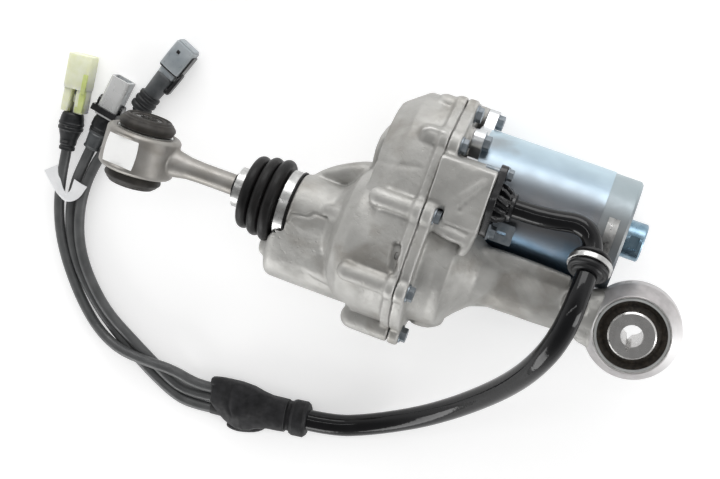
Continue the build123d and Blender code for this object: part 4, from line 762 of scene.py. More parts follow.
@dataclass
class Studio:
    """Camera, lamps, world and floor."""

    place: tuple = (-47.939, 181.906, 883.132)
    right: tuple = (0.928810, 0.306358, -0.208462)
    down: tuple = (0.339112, -0.929521, 0.144892)
    forward: tuple = (-0.149382, -0.205269, -0.967238)
    lens: float = 69.70
    sensor: float = 36.0
    near: float = 0.01
    # name, place and aim in metres, width and height in metres, power in watts: a key lamp from
    # beyond, a fill from the near side, a rim lamp, and a strip that draws streaks on gloss
    lamps: tuple = (
        ("key", (-0.45, 1.40, 0.55), (-0.18, 0.0, 0.0), (1.5, 0.7), 11.0),
        ("fill", (-0.75, -1.45, 0.38), (-0.18, 0.0, 0.0), (1.4, 0.6), 11.0),
        ("rim", (1.20, -0.10, 0.40), (-0.10, 0.0, 0.0), (0.4, 0.9), 6.0),
        ("streak", (-0.30, 0.42, 1.25), (-0.18, 0.0, 0.0), (1.5, 0.05), 1.6),
    )
    lean: tuple = (-0.02, -0.20, 0.98)
    sky: tuple = ((0.0, 0.95), (0.30, 0.98), (0.55, 0.62), (0.78, 0.34), (1.0, 0.26))
    floor_half: float = 6.0
    floor_grey: float = 0.78
    floor_glow: float = 0.42

    def camera(self) -> None:
        """Sets the camera up at its place."""
        lens = bpy.data.cameras.new("camera")
        lens.lens = self.lens
        lens.sensor_width = self.sensor
        lens.clip_start = self.near
        made = placed("camera", lens)
        axes = np.array([self.right, -np.array(self.down), -np.array(self.forward)]).T
        turn = Matrix(axes.tolist()).to_4x4()
        turn.translation = [c * MM for c in self.place]
        made.matrix_world = turn
        bpy.context.scene.camera = made

    def lamp(self, name: str, place: tuple, aim: tuple, size: tuple, power: float) -> None:
        """Adds one soft lamp.

        Args:
            name: Name of the lamp.
            place: Where it stands, in metres.
            aim: The point that it faces, in metres.
            size: Width and height in metres.
            power: Power in watts.
        """
        light = bpy.data.lights.new(name, "AREA")
        light.shape = "RECTANGLE"
        light.size, light.size_y = size
        light.energy = power
        back = unit(np.subtract(place, aim))
        side = unit(np.cross(UP, back))
        turn = Matrix(np.array([side, np.cross(back, side), back]).T.tolist()).to_4x4()
        turn.translation = place
        placed(name, light).matrix_world = turn

    def world(self) -> None:
        """Even light from all round, white low down and greyer overhead."""
        world = bpy.data.worlds.new("studio")
        bpy.context.scene.world = world
        world.use_nodes = True
        tree = world.node_tree
        back = next(n for n in tree.nodes if n.type == "BACKGROUND")
        place = tree.nodes.new("ShaderNodeTexCoord")
        lean = tree.nodes.new("ShaderNodeVectorMath")
        lean.operation = "DOT_PRODUCT"
        lean.inputs[1].default_value = self.lean
        ramp = tree.nodes.new("ShaderNodeValToRGB")
        tree.links.new(place.outputs["Generated"], lean.inputs[0])
        tree.links.new(lean.outputs["Value"], ramp.inputs[0])
        stops = ramp.color_ramp.elements
        for number, (height, grey) in enumerate(self.sky):
            stop = stops[number] if number < 2 else stops.new(1.0)
            stop.position = height
            stop.color = (grey, grey, grey, 1)
        tree.links.new(ramp.outputs[0], back.inputs[0])
        back.inputs[1].default_value = 1.0

    def floor(self) -> None:
        """A white floor that glows for the camera and still takes the object's shadow."""
        mesh = bpy.data.meshes.new("floor")
        half, z = self.floor_half, FLOOR_Z * MM
        corners = [(-half, -half, z), (half, -half, z), (half, half, z), (-half, half, z)]
        mesh.from_pydata(corners, [], [(0, 1, 2, 3)])
        bench = NodeBench("floor_white")
        path = bench.add("ShaderNodeLightPath")
        rays = bench.maths("ADD", path.outputs["Is Camera Ray"], path.outputs["Is Glossy Ray"])
        rays = bench.maths("ADD", rays, path.outputs["Is Transmission Ray"])
        for name, value in (("Base Color", opaque([self.floor_grey] * 3)), ("Roughness", 0.9),
                            ("Specular IOR Level", 0.1), ("Emission Color", (1, 1, 1, 1)),
                            ("Emission Strength", bench.maths("MULTIPLY", rays, self.floor_glow))):
            bench.set(name, value)
        mesh.materials.append(bench.material)
        placed("floor", mesh)

    def build(self) -> None:
        """Sets up the whole studio."""
        bpy.context.scene.view_settings.view_transform = "Standard"
        self.camera()
        for lamp in self.lamps:
            self.lamp(*lamp)
        self.world()
        self.floor()


@dataclass(frozen=True)
class Cable:
    """A round cable on a smooth curve through its route; start holds its first shares of thickness."""

    name: str
    node: str
    radius: float
    length: float
    route: tuple
    finish: Finish
    stiffness: str = "medium"
    start: tuple = ()

    def build(self) -> bpy.types.Object:
        """Makes the cable as a curve with the route as its control points.

        Returns:
            The cable's object.
        """
        curve = bpy.data.curves.new(self.name, "CURVE")
        curve.dimensions = "3D"
        spline = curve.splines.new("NURBS")
        spline.points.add(len(self.route) - 1)
        weighted = np.column_stack([np.array(self.route, float) * MM, np.ones(len(self.route))])
        spline.points.foreach_set("co", weighted.ravel())
        thickness = np.ones(len(self.route))
        thickness[: len(self.start)] = self.start
        spline.points.foreach_set("radius", thickness)
        spline.order_u = 3
        spline.use_endpoint_u = True
        spline.resolution_u = 10
        curve.bevel_depth = self.radius * MM
        curve.bevel_resolution = 7
        curve.use_fill_caps = True
        return dress(placed(self.name, curve), self.finish, (self.node,), Body.HOUSING)

    def declare(self, made: bpy.types.Object, far_end: str, pieces: list) -> None:
        """Takes no step: nothing here declares the cable as a free cord.

        Args:
            made: The cable's object; not used.
            far_end: What is on its far end; not used.
            pieces: The pieces on it; not used.
        """


@dataclass
class CableTree:
    """The held lead, the main cable and the three branches."""

    lead: Cable = Cable("lead", "motor_lead", 6.5, 93.2, (
        (-104, 53, 33), (-87, 53, 33), (-70, 54.5, 34.5), (-50, 58.5, 33.8), (-39.5, 46.4, 38.0),
        (-39.5, 31.49, 50.46)), CABLE_BLACK)
    main: Cable = Cable("main_loom", "main_cable", 7.6, 290.7, (
        (-39.5, 31.49, 50.46), (-39.5, 22.68, 57.86), (-40, 5, 63.5), (-43, -13, 60), (-48.5, -30, 48),
        (-56, -47, 31.5), (-66, -64, 13.5), (-78.5, -81, -4), (-92.5, -97.5, -20), (-109, -113.5, -33),
        (-127.5, -127.5, -42), (-147, -139.5, -47), (-166.274, -148.201, -47.6), (-186, -151.5, -47.6)),
        CABLE_BLACK, "limp", (0.88, 0.9, 0.96))
    branches: tuple = (
        Cable("branch_1", "branch_cable_1", CABLE_RADIUS, 231.6, (
            (-260.3, -155.8, -50.35), (-272.1, -157.8, -50.35), (-291, -152.4, -45.5),
            (-310.6, -152.8, -43.2), (-334.2, -153.2, -46.5), (-355.4, -146.9, -53),
            (-373.5, -131.4, BRANCH_Z), (-390, -111.4, BRANCH_Z), (-402.5, -91.6, BRANCH_Z),
            (-410.4, -70.9, -53.5), (-412.4, -50.0, -48.7), (-413.5, -37, -48.7)), CABLE_GREY),
        Cable("branch_2", "branch_cable_2", CABLE_RADIUS, 238.0, (
            (-257.7, -171.6, BRANCH_Z), (-269.5, -173.6, BRANCH_Z), (-283.8, -173.2, BRANCH_Z),
            (-304.9, -164.6, BRANCH_Z), (-328, -152.3, BRANCH_Z), (-351.8, -137.5, BRANCH_Z),
            (-370.1, -122.2, BRANCH_Z), (-385.7, -105.1, BRANCH_Z), (-396.9, -84.9, BRANCH_Z),
            (-402.1, -64.9, -53.5), (-402.2, -47.7, -51.5), (-400.3, -35.8, -50.3),
            (-398, -23, -50.3)), CABLE_GREY),
        Cable("branch_3", "branch_cable_3", CABLE_RADIUS, 261.1, (
            (-259.0, -163.7, BRANCH_Z), (-270.8, -165.7, BRANCH_Z), (-285.8, -165.8, -53.5),
            (-305.7, -155.3, -51), (-327, -143.6, -49.2), (-349.9, -131.8, -49.6),
            (-367.4, -116.3, -49.6), (-380.9, -99.4, -49.6), (-389.4, -81.5, -49.6),
            (-393.7, -62.2, -50), (-393.9, -42.4, -51), (-389.5, -22.6, -51), (-376.6, 3.5, -49.4),
            (-371.5, 15.5, -49.4)), CABLE_GREY),
    )

    def build(self, splitter: bpy.types.Object, ends: list) -> None:
        """Args:
            splitter: The piece where the main cable branches.
            ends: Lists of the pieces on each branch.
        """
        self.lead.build()
        self.main.declare(self.main.build(), "fitting", [splitter])
        for branch, pieces in zip(self.branches, ends):
            branch.declare(branch.build(), "connector", pieces)


@dataclass(frozen=True)
class Relief:
    """A raised line or a groove that runs over a casting."""

    route: tuple
    width: float
    depth: float
    blunt: float = 4.0
    reach: float = 14.0

    def rise(self, points: np.ndarray) -> np.ndarray:
        """Height of the relief at each point.

        It is depth e^-(d / width)^blunt, where d is the point's distance in plan.

        Args:
            points: Rows of coordinates.

        Returns:
            The height at each point, nothing where it lies further than the reach above or below.
        """
        line = np.asarray(self.route, float)
        start, run = line[:-1], np.diff(line, axis=0)
        flat = run[:, :2]
        share = ((points[:, None, :2] - start[None, :, :2]) * flat).sum(-1) / (flat**2).sum(-1)
        near = start + np.clip(share, 0.0, 1.0)[..., None] * run
        distance = np.linalg.norm(points[:, None, :2] - near[..., :2], axis=-1).min(1)
        level = np.abs(points[:, 2] - line[:, 2].mean()) < self.reach
        return self.depth * bell(distance, self.width, self.blunt) * level


@dataclass(frozen=True)
class Rib:
    """A rib or lump that grows out of a casting; its section is that of a bar."""

    path: tuple
    halves: tuple
    power: float
    ease: float
    up: tuple = (0.0, 0.0, 1.0)
    steps: int = 3

    def shape(self) -> tuple:
        """The rib's vertices and faces."""
        return bar(self.path, self.halves, self.up, self.power, self.ease, steps=self.steps)


def read_rows(items: object, name: str) -> np.ndarray:
    """Reads a vector of every vertex or normal of a mesh.

    Args:
        items: The mesh's vertices or its normals.
        name: Name of the vector.

    Returns:
        A row for each of them.
    """
    values = np.empty(3 * len(items))
    items.foreach_get(name, values)
    return values.reshape(-1, 3)


def mesh_arrays(mesh: bpy.types.Mesh) -> tuple:
    """Reads a triangle mesh and makes points in one place one point.

    Args:
        mesh: The mesh in metres.

    Returns:
        Its vertices in millimetres and its faces.
    """
    corners = np.empty(len(mesh.loops), int)
    mesh.loops.foreach_get("vertex_index", corners)
    points = np.round(read_rows(mesh.vertices, "co") / MM, 4)
    merged, place = np.unique(points, axis=0, return_inverse=True)
    return merged, place.ravel()[corners].reshape(-1, 3).tolist()


@dataclass(frozen=True)
class Casting:
    """A cast part: the shape of a CAD node with ribs grown onto it and all its edges rounded."""

    name: str
    node: str
    ribs: tuple
    reliefs: tuple = ()
    finish: Finish = CAST
    body: Body = Body.HOUSING
    voxel: float = 1.2
    passes: int = 4
    wave: float = 0.10

    def build(self, nodes: dict) -> bpy.types.Object:
        """Makes the skin.

        Args:
            nodes: The CAD nodes by name.

        Returns:
            The new piece.
        """
        lumps = [rib.shape() for rib in self.ribs]
        points, faces = joined([mesh_arrays(nodes[self.node].data), *lumps])
        mesh = bpy.data.meshes.new(self.name + "_rough")
        mesh.from_pydata((points * MM).tolist(), [], faces)
        rough = placed(self.name + "_rough", mesh)
        remesh = rough.modifiers.new("grow together", "REMESH")
        remesh.mode = "VOXEL"
        remesh.voxel_size = self.voxel * MM
        smooth = rough.modifiers.new("round", "SMOOTH")
        smooth.factor = 0.5
        smooth.iterations = self.passes
        graph = bpy.context.evaluated_depsgraph_get()
        cast = bpy.data.meshes.new_from_object(rough.evaluated_get(graph), depsgraph=graph)
        bpy.data.objects.remove(rough)
        cast.name = self.name
        self.work(cast)
        cast.shade_smooth()
        log.info("casting %s has %d faces", self.name, len(cast.polygons))
        return dress(placed(self.name, cast), self.finish, (self.node,), self.body)

    def work(self, mesh: bpy.types.Mesh) -> None:
        """Moves the surface along its normals by the reliefs and by a slow wave.

        The wave is a third of wave (sin(x / 4.1 + y / 6.3) + sin(y / 3.7 + 1) + sin(z / 4.9 - x / 7.7)).

        Args:
            mesh: The mesh to change.
        """
        points = read_rows(mesh.vertices, "co") / MM
        normals = read_rows(mesh.vertex_normals, "vector")
        x, y, z = points.T
        waves = np.sin(x / 4.1 + y / 6.3) + np.sin(y / 3.7 + 1.0) + np.sin(z / 4.9 - x / 7.7)
        rise = self.wave * waves / 3
        for relief in self.reliefs:
            rise = rise + relief.rise(points)
        mesh.vertices.foreach_set("co", ((points + rise[:, None] * normals) * MM).ravel())
        mesh.update()


@dataclass
class Castings:
    """The two housings of the gear case, with the eye's turned rings."""

    gear: Casting = Casting("gear_casting", "gear_housing", (
        Rib(((-209, 9, 17), (-200, 10, 22.5), (-190, 10, 26), (-182, 10, 28)),
            ((3.5, 5), (5, 6), (5.8, 7), (6, 8)), 2.6, 2.5),
        Rib(((-227, 22, -8), (-213, 29, -8), (-197, 35, -8), (-184, 37, -8)),
            ((2.5, 5), (6, 8), (8, 10), (9, 12)), 3.0, 2.0),
        Rib(((-188.5, 40, -6), (-188.5, 62, -8), (-182, 78, -10)), ((3.4, 14), (4.4, 17), (3.6, 13)),
            3.0, 3.0),
        Rib(((-190, -16, 22), (-183, -12, 33), (-176, -8, 42)), ((7, 6), (7, 7), (5, 5)), 2.5, 3.0,
            (1.0, 0.0, 0.0)),
        Rib(((-246, -30, 3), (-214, -28, 8), (-190, -27, 15)), ((7, 7), (9, 8), (11, 9)), 2.6, 4.0),
        Rib(((-196, -44, -24), (-182, -46, -27), (-168, -48, -30)), ((6, 9), (8, 12), (9, 14)),
            3.0, 3.0),
    ), (
        Relief(((-230, -6, 23), (-228, 0.6, 24), (-217.2, 1.7, 24), (-214.4, 5.2, 23.4),
                (-205.5, 5.6, 23.4)), 0.9, -1.1),
        Relief(((-153.6, 8.2, 49), (-151.4, -5.4, 49.5)), 3.0, -2.6, 8.0),
        Relief(((-163, 80.5, 28.6), (-159.4, 82.6, 27), (-149.5, 83, 26.7)), 0.9, 0.8),
        Relief(((-186, 52, 30), (-175, 54, 39), (-158, 58, 37.6)), 1.6, -0.45, 2.0),
    ))
    end: Casting = Casting("end_casting", "end_housing", (
        Rib(((-112, 13, 12), (-96, 15, 9.6), (-70, 15.6, 9.4), (-47, 15.2, 9.0)),
            ((8, 6), (6.6, 4.6), (6.2, 4.2), (5.6, 3.8)), 3.0, 1.5),
        Rib(((-135, 43, 41), (-125, 52, 46.4), (-115, 65.5, 46.2)), ((2.2, 3), (2.4, 2.6), (2.0, 2.2)),
            2.4, 1.5),
        Rib(((-140, 31, 37), (-128, 27, 40), (-114, 26, 40)), ((6, 8), (5, 7), (4.5, 7)), 2.5, 3.0),
        Rib(((-116, 16, 36), (-113.5, 24, 40), (-112.6, 33, 44)), ((3, 5), (3, 5.5), (2.4, 3)),
            2.4, 2.0),
        Rib(((-138, -40, -6), (-126, -40, -8), (-117, -36, -10)), ((7, 12), (6.5, 13), (5, 10)),
            2.8, 4.0),
        Rib(((-36, -2, 0), (-24, -1, 0), (-16, 0, 0)), ((16.5, 15.5), (19.5, 15), (23, 13)), 2.6, 4.0),
    ), (
        Relief(((-98, -16.8, 6), (-62, -15.4, 6), (-28, -15.6, 5)), 0.8, -0.6),
        Relief(((-124.4, 43.5, 46), (-122.5, 47.5, 46)), 2.2, -1.2, 3.0),
        Relief(((-126, -2, 42), (-126, -22, 36), (-126, -34, 25)), 3.0, -0.8, 2.0),
    ))
    eye_inner: float = 24.35
    eye_face: float = 24.9
    eye_outer: float = 31.06
    eye_rim: float = 6.1
    eye_half: float = 17.08
    eye_lip: float = 0.6

    def eye_ring(self) -> tuple:
        """The turned faces and rim of the eye: a closed profile turned about Z.

        Returns:
            The vertices and the list of faces.
        """
        half = [(self.eye_half - self.eye_lip, self.eye_inner), (self.eye_half, self.eye_inner),
                (self.eye_half, self.eye_face), (self.eye_rim, self.eye_outer)]
        other = [(-z, radius) for z, radius in reversed(half)]
        return skin(turned(eased(half + other, 0.5), ORIGIN, UP, X_AXIS, 160), ring=True)

    def build(self, nodes: dict) -> None:
        """Makes both castings and the eye's rings.

        Args:
            nodes: The CAD nodes by name.
        """
        self.gear.build(nodes)
        self.end.build(nodes)
        make_piece("eye_faces", self.eye_ring(), TURNED_EYE, sharp=60.0)


@dataclass
class Bellows:
    """Rubber bellows between the neck and the rod; its two ends lie under the clamps."""

    small_end: tuple = ((-275.2, 8.5), (-274.9, 8.4), (-273.0, 9.4), (-272.8, 12.3), (-267.0, 12.3),
                        (-266.4, 14.0))
    crests: tuple = ((-261.6, 25.0), (-253.1, 27.0), (-244.8, 28.3))
    large_end: tuple = ((-239.6, 22.1), (-233.0, 22.1), (-232.6, 24.2), (-231.5, 24.0))
    arc: float = 4.15
    valley: float = 7.4
    wall: float = 1.7
    rod_bore: float = 7.3

    def outer(self) -> np.ndarray:
        """Outer profile: each crest is an arc of 200 degrees, and a narrow valley lies between two.

        Returns:
            Rows of distance and radius.
        """
        rows = [np.array(self.small_end)]
        a = np.radians(np.linspace(-100.0, 100.0, 17))
        for x, radius in self.crests:
            middle = radius - self.arc
            rows.append(np.column_stack([x + self.arc * np.sin(a), middle + self.arc * np.cos(a)]))
            rows.append(np.array([(x + self.arc * 1.02, radius - self.valley)]))
        return np.vstack([*rows[:-1], np.array(self.large_end)])

    def build(self) -> None:
        """Makes the bellows as a closed wall turned about X, on neither body."""
        outer = self.outer()
        inner = outer[::-1] - (0.0, self.wall)
        inner[:, 1] = np.maximum(inner[:, 1], self.rod_bore)
        wall = skin(turned(np.vstack([outer, inner]), ORIGIN, X_AXIS, UP, 128), ring=True)
        made = make_piece("rod_bellows", wall, BELLOWS_RUBBER, ("bellows",), None, 60.0)
        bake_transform(made)


@dataclass
class BallJoint:
    """Rod end with its milled flat, and the two boots of its ball joint."""

    rod: Casting = Casting("forged_rod_end", "rod_end", (
        Rib(((-331, 0, 0), (-320, 0, 0), (-309, 0, 0)), ((13, 13), (9.8, 9.8), (7.6, 7.6)), 2.0, 0.5,
            steps=4),
    ), (), FORGED, Body.ROD, 0.75, 5, 0.04)
    boot_rim: float = 19.5
    boot_from: float = 14.4
    boot_top: float = 24.0
    bore: float = 9.4
    mouth: float = 13.2
    flat_angle: float = 102.0
    flat_radius: float = 24.06
    flat_half: tuple = (9.6, 11.4)
    flat_bow: float = 0.9
    flat_depth: tuple = (-0.5, 0.12, 0.1)

    def boot(self, name: str, side: float) -> None:
        """One lens-shaped boot with a ring groove.

        Args:
            name: Name of the CAD node that it stands for.
            side: 1 for the upper end of the joint, -1 for the lower.
        """
        rim, low, top = self.boot_rim, self.boot_from, self.boot_top
        outline = [
            (low, self.mouth), (low, 17.6), (low + 1.2, 18.4), (low + 2.8, rim - 0.4),
            (low + 4.0, rim), (low + 5.2, rim - 0.2), (top - 2.6, rim - 2.0), (top - 1.9, rim - 2.3),
            (top - 1.5, rim - 3.4), (top - 0.4, rim - 4.0), (top, rim - 5.0), (top, 13.6),
            (top - 1.5, 13.2), (top - 1.5, 12.2), (top - 0.3, 11.8), (top - 0.5, self.bore + 0.6),
            (top - 0.9, self.bore), (top - 3.4, self.bore),
        ]
        grid = turned(eased(outline, 0.8), JOINT_CENTRE, side * Y_AXIS, X_AXIS)
        cap = make_piece(f"{name}_cap", skin(grid, ring=True), BOOT_RUBBER, (name,), None, 70.0)
        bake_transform(cap)

    def flat(self) -> tuple:
        """The milled flat: a plate that stands a hair proud of the drum, its sides bowed by 1 - t^2.

        Returns:
            The vertices and the list of faces.
        """
        angle = math.radians(self.flat_angle)
        normal = np.array([math.cos(angle), 0.0, math.sin(angle)])
        across = np.array([math.sin(angle), 0.0, -math.cos(angle)])
        half_y, half_x = self.flat_half
        t = np.linspace(-1.0, 1.0, 13)
        right = np.column_stack([half_x + self.flat_bow * (1 - t**2), half_y * t])
        frame = (JOINT_CENTRE + normal * self.flat_radius, across, Y_AXIS, normal)
        return plate(np.vstack([right, -right]), *self.flat_depth, frame)

    def build(self, nodes: dict) -> None:
        """Makes the rod end, the flat and the boots.

        Args:
            nodes: The CAD nodes by name.
        """
        self.rod.build(nodes)
        # the flat carries a painted highlight as well as its milled tone
        make_piece("highlit_milled_flat", self.flat(), MILLED_AND_HIGHLIT, (), Body.ROD, 60.0)
        self.boot("upper_boot", 1.0)
        self.boot("lower_boot", -1.0)


@dataclass
class CableEntry:
    """Ribbed gland, and the grommet in its clip."""

    gland_centre: tuple = (-110.0, 53.0, 33.0)
    flange: float = 13.5
    flange_depth: float = 4.8
    ear_offset: float = 18.4
    ear: float = 4.9
    bore: float = 6.6
    cone: tuple = ((4.0, 8.8), (8.0, 8.8), (12.6, 8.3), (13.2, 8.3))
    collar: tuple = ((13.5, 9.2), (15.2, 9.2), (15.9, 8.2))
    ribs: int = 11
    rib_lean: float = 0.35
    # distance along the cone, and how far the ribs reach there
    rib_reach: tuple = ((4.0, 4.4), (4.6, 4.4), (8.0, 4.0), (12.0, 2.0), (13.0, 0.0))
    rib_from: float = 8.0
    grommet: tuple = (-39.5, 38.0, 45.0)
    tilt: float = 40.0
    grommet_outline: tuple = (
        (-6.9, 6.6), (-6.9, 9.8), (-5.6, 11.6), (-4.4, 12.3), (-3.4, 12.1), (-3.1, 10.7), (2.4, 10.7),
        (2.6, 12.2), (3.8, 12.8), (5.4, 12.7), (6.0, 11.8), (6.1, 10.1), (6.8, 9.9), (7.6, 9.4),
        (8.1, 8.4), (8.1, 6.6))
    band: tuple = ((-1.0, 10.9), (-1.0, 13.9), (2.5, 13.9), (2.5, 10.9))
    leg: tuple = ((-39.5, 30.0, 36.0), (-39.5, 27.0, 30.0), (-39.5, 24.0, 24.0), (-39.5, 18.0, 20.7),
                  (-39.5, 3.0, 20.7))
    leg_halves: tuple = ((1.0, 4.6), (0.8, 5.4), (0.8, 6.0), (0.75, 6.4), (0.75, 6.4))
    leg_up: tuple = (0.0, 0.3, 1.0)

    def gland(self) -> tuple:
        """Flange with two ears, and a cone with leaning ribs.

        A rib adds reach(x) (c - 0.12) to the radius, where c is 1.6 cos(n t - lean x) + 0.35 held
        between 0 and 1.

        Returns:
            The vertices and the list of faces.
        """
        x, y, z = self.gland_centre
        ears = [(y + side * self.ear_offset, z, self.ear) for side in (-1, 1)]
        outline = hulled([(y, z, self.flange), *ears], 96)
        flange = plate(outline, x, x + self.flange_depth, 0.7, (ORIGIN, Y_AXIS, UP, X_AXIS))
        cone = np.array(self.cone)
        at = np.linspace(4.3, 12.5, 14)
        slope = np.column_stack([at, np.interp(at, cone[:, 0], cone[:, 1])])
        profile = np.vstack([(cone[0, 0], self.bore), cone[:1], slope, cone[-1:], self.collar,
                             (self.collar[-1][0], self.bore)])
        count = 16 * self.ribs
        along = profile[:, :1]
        reach = np.interp(along, *np.array(self.rib_reach).T) * (profile[:, 1:2] > self.rib_from)
        wave = np.cos(self.ribs * around(count) - self.rib_lean * along)
        ripple = reach * (np.clip(wave * 1.6 + 0.35, 0.0, 1.0) - 0.12)
        ribbed = turned(profile, self.gland_centre, X_AXIS, UP, count, ripple)
        return joined([flange, skin(ribbed, ring=True)])

    def build(self) -> None:
        """Makes the gland, the grommet and the clip."""
        make_piece("ribbed_gland", self.gland(), GLAND_BLACK, ("cable_gland",))
        angle = math.radians(self.tilt)
        axis = (0.0, -math.cos(angle), math.sin(angle))
        rings = turned(eased(self.grommet_outline, 0.7), self.grommet, axis, X_AXIS)
        make_piece("ringed_grommet", skin(rings, ring=True), GROMMET_RUBBER, ("cable_grommet",),
                   sharp=60.0)
        ring = skin(turned(eased(self.band, 0.3, 3), self.grommet, axis, X_AXIS), ring=True)
        leg = bar(self.leg, self.leg_halves, self.leg_up, 8.0, 0.4, steps=4)
        make_piece("sprung_clip", joined([ring, leg]), CLAMP, ("cable_clip",))


@dataclass
class Splitter:
    """Moulded body where the main cable branches."""

    mouth: tuple = (-186.0, -151.5)
    turn: float = 189.5
    length: float = 74.0
    # distance from the mouth, half width, half height and the n of the section
    stations: tuple = (
        (0.0, 8.6, 8.4, 2.2), (0.9, 11.4, 9.6, 2.2), (2.6, 12.9, 10.3, 2.3), (10.4, 12.9, 10.3, 2.3),
        (12.4, 12.0, 9.6, 2.4), (13.2, 10.8, 8.9, 2.4), (15.4, 10.6, 8.8, 2.4), (16.2, 11.6, 9.7, 2.6),
        (22.0, 11.8, 9.8, 2.7), (29.0, 11.9, 9.7, 2.8), (36.0, 13.6, 9.6, 2.9), (43.0, 15.9, 9.3, 3.0),
        (52.0, 17.1, 8.9, 3.2), (62.0, 17.2, 8.0, 3.2), (69.0, 16.2, 6.9, 3.2), (73.0, 14.8, 6.2, 3.0),
        (74.0, 13.4, 5.4, 2.8),
    )
    # distance from the mouth, and how far the section is lifted off the floor there
    lifts: tuple = ((0.0, 0.0), (12.0, 0.0), (16.0, 0.4), (74.0, 0.4))
    hollow_depth: float = 3.4
    ridge_height: float = 1.2
    seam_depth: float = 0.6
    cut_back: float = 15.0
    # places along, across and up, with half sizes across and up
    flange: tuple = ((32, 11.5, 5.0, 3.0, 4.2), (40, 14.2, 5.0, 4.6, 4.4), (52, 16.0, 5.0, 4.6, 4.2),
                     (60, 16.2, 5.0, 2.6, 4.0))
    tongue: tuple = ((58.0, -13.5, 8.4, 3.4, 4.6), (66.0, -13.5, 8.4, 3.8, 4.6),
                     (75.0, -13.5, 8.4, 3.0, 3.8))
    # how far across and up each branch leaves
    lanes: tuple = ((-8.0, 7.95), (8.0, 4.55), (0.0, 4.55))

    def frame(self) -> tuple:
        """Directions of the splitter.

        Returns:
            Origin on the floor, and a matrix whose rows are the directions along, across and up.
        """
        angle = math.radians(self.turn)
        way = np.array([math.cos(angle), math.sin(angle), 0.0])
        return np.array([*self.mouth, FLOOR_Z]), np.array([way, np.cross(UP, way), UP])

    def body(self) -> tuple:
        """Loft of rounded sections, with a hollow and a seam pressed into its top.

        The top of each section moves by ridge - hollow - seam, where each of them is a bell curve
        e^-d^2 or e^-d^4 of the distance to a slanting line. The far end is cut back on one side.

        Returns:
            The vertices and the list of faces.
        """
        origin, axes = self.frame()
        given, lifts = np.array(self.stations).T, np.array(self.lifts).T
        at = np.unique(np.concatenate([given[0], np.linspace(0.0, self.length, 90)]))
        wide, high, power = (np.interp(at, given[0], row)[:, None] for row in given[1:])
        x, z = block_ring(around(72)[None], power)
        x, z = wide * x, high * z
        s = at[:, None] + 0 * x
        top = np.clip(z / high, 0.0, 1.0)
        hollow = bell(s - 40.0 - 0.9 * (x + 4.0), 8.0, 4) * bell(x + 6.0, 6.5, 4)
        ridge = bell(x - 2.0 - 0.28 * (s - 40.0), 3.0, 2) * bell(s - 44.0, 16.0, 4)
        seam = bell(s - 58.0, 1.2, 2) * (x < 6.0)
        relief = self.ridge_height * ridge - self.hollow_depth * hollow - self.seam_depth * seam
        z = z + top * relief + high + np.interp(at, *lifts)[:, None]
        cut = np.clip((x - 1.0) / 15.0, 0.0, 1.0) * np.clip((s - 38.0) / 36.0, 0.0, 1.0)
        s = s - self.cut_back * cut
        return skin(origin + np.stack([s, x, z], -1) @ axes)

    def build(self) -> bpy.types.Object:
        """Makes the body with its side flange, its tongue and the short sleeves of the branches.

        Returns:
            The piece.
        """
        origin, axes = self.frame()
        flange, tongue = np.array(self.flange), np.array(self.tongue)
        pieces = [
            self.body(),
            bar(origin + flange[:, :3] @ axes, flange[:, 3:], UP, 3.0, 1.6, steps=3),
            bar(origin + tongue[:, :3] @ axes, tongue[:, 3:], UP, 3.0, 1.5, steps=3),
        ]
        for side, height in self.lanes:
            sleeve = np.array([(50.0, side, height), (73.9, side, height)])
            pieces.append(bar(origin + sleeve @ axes, [(5.2, 5.0), (4.1, 4.1)], UP, 2.0, 0.3))
        return make_piece("moulded_splitter", joined(pieces), SPLITTER_BLACK, ("cable_splitter",))


@dataclass(frozen=True)
class Block:
    """A rounded block along a plug.

    Its ends are distances from the cable's end, and its offset is how far its middle lies across
    and up. The power says how square its section is.
    """

    start: float
    end: float
    halves: tuple
    offset: tuple = (0.0, 0.0)
    power: float = 8.0
    ease: float = 0.8


@dataclass(frozen=True)
class Moulding:
    """A piece on a plug that is made of blocks."""

    name: str
    finish: Finish
    blocks: tuple
    nodes: tuple = ()


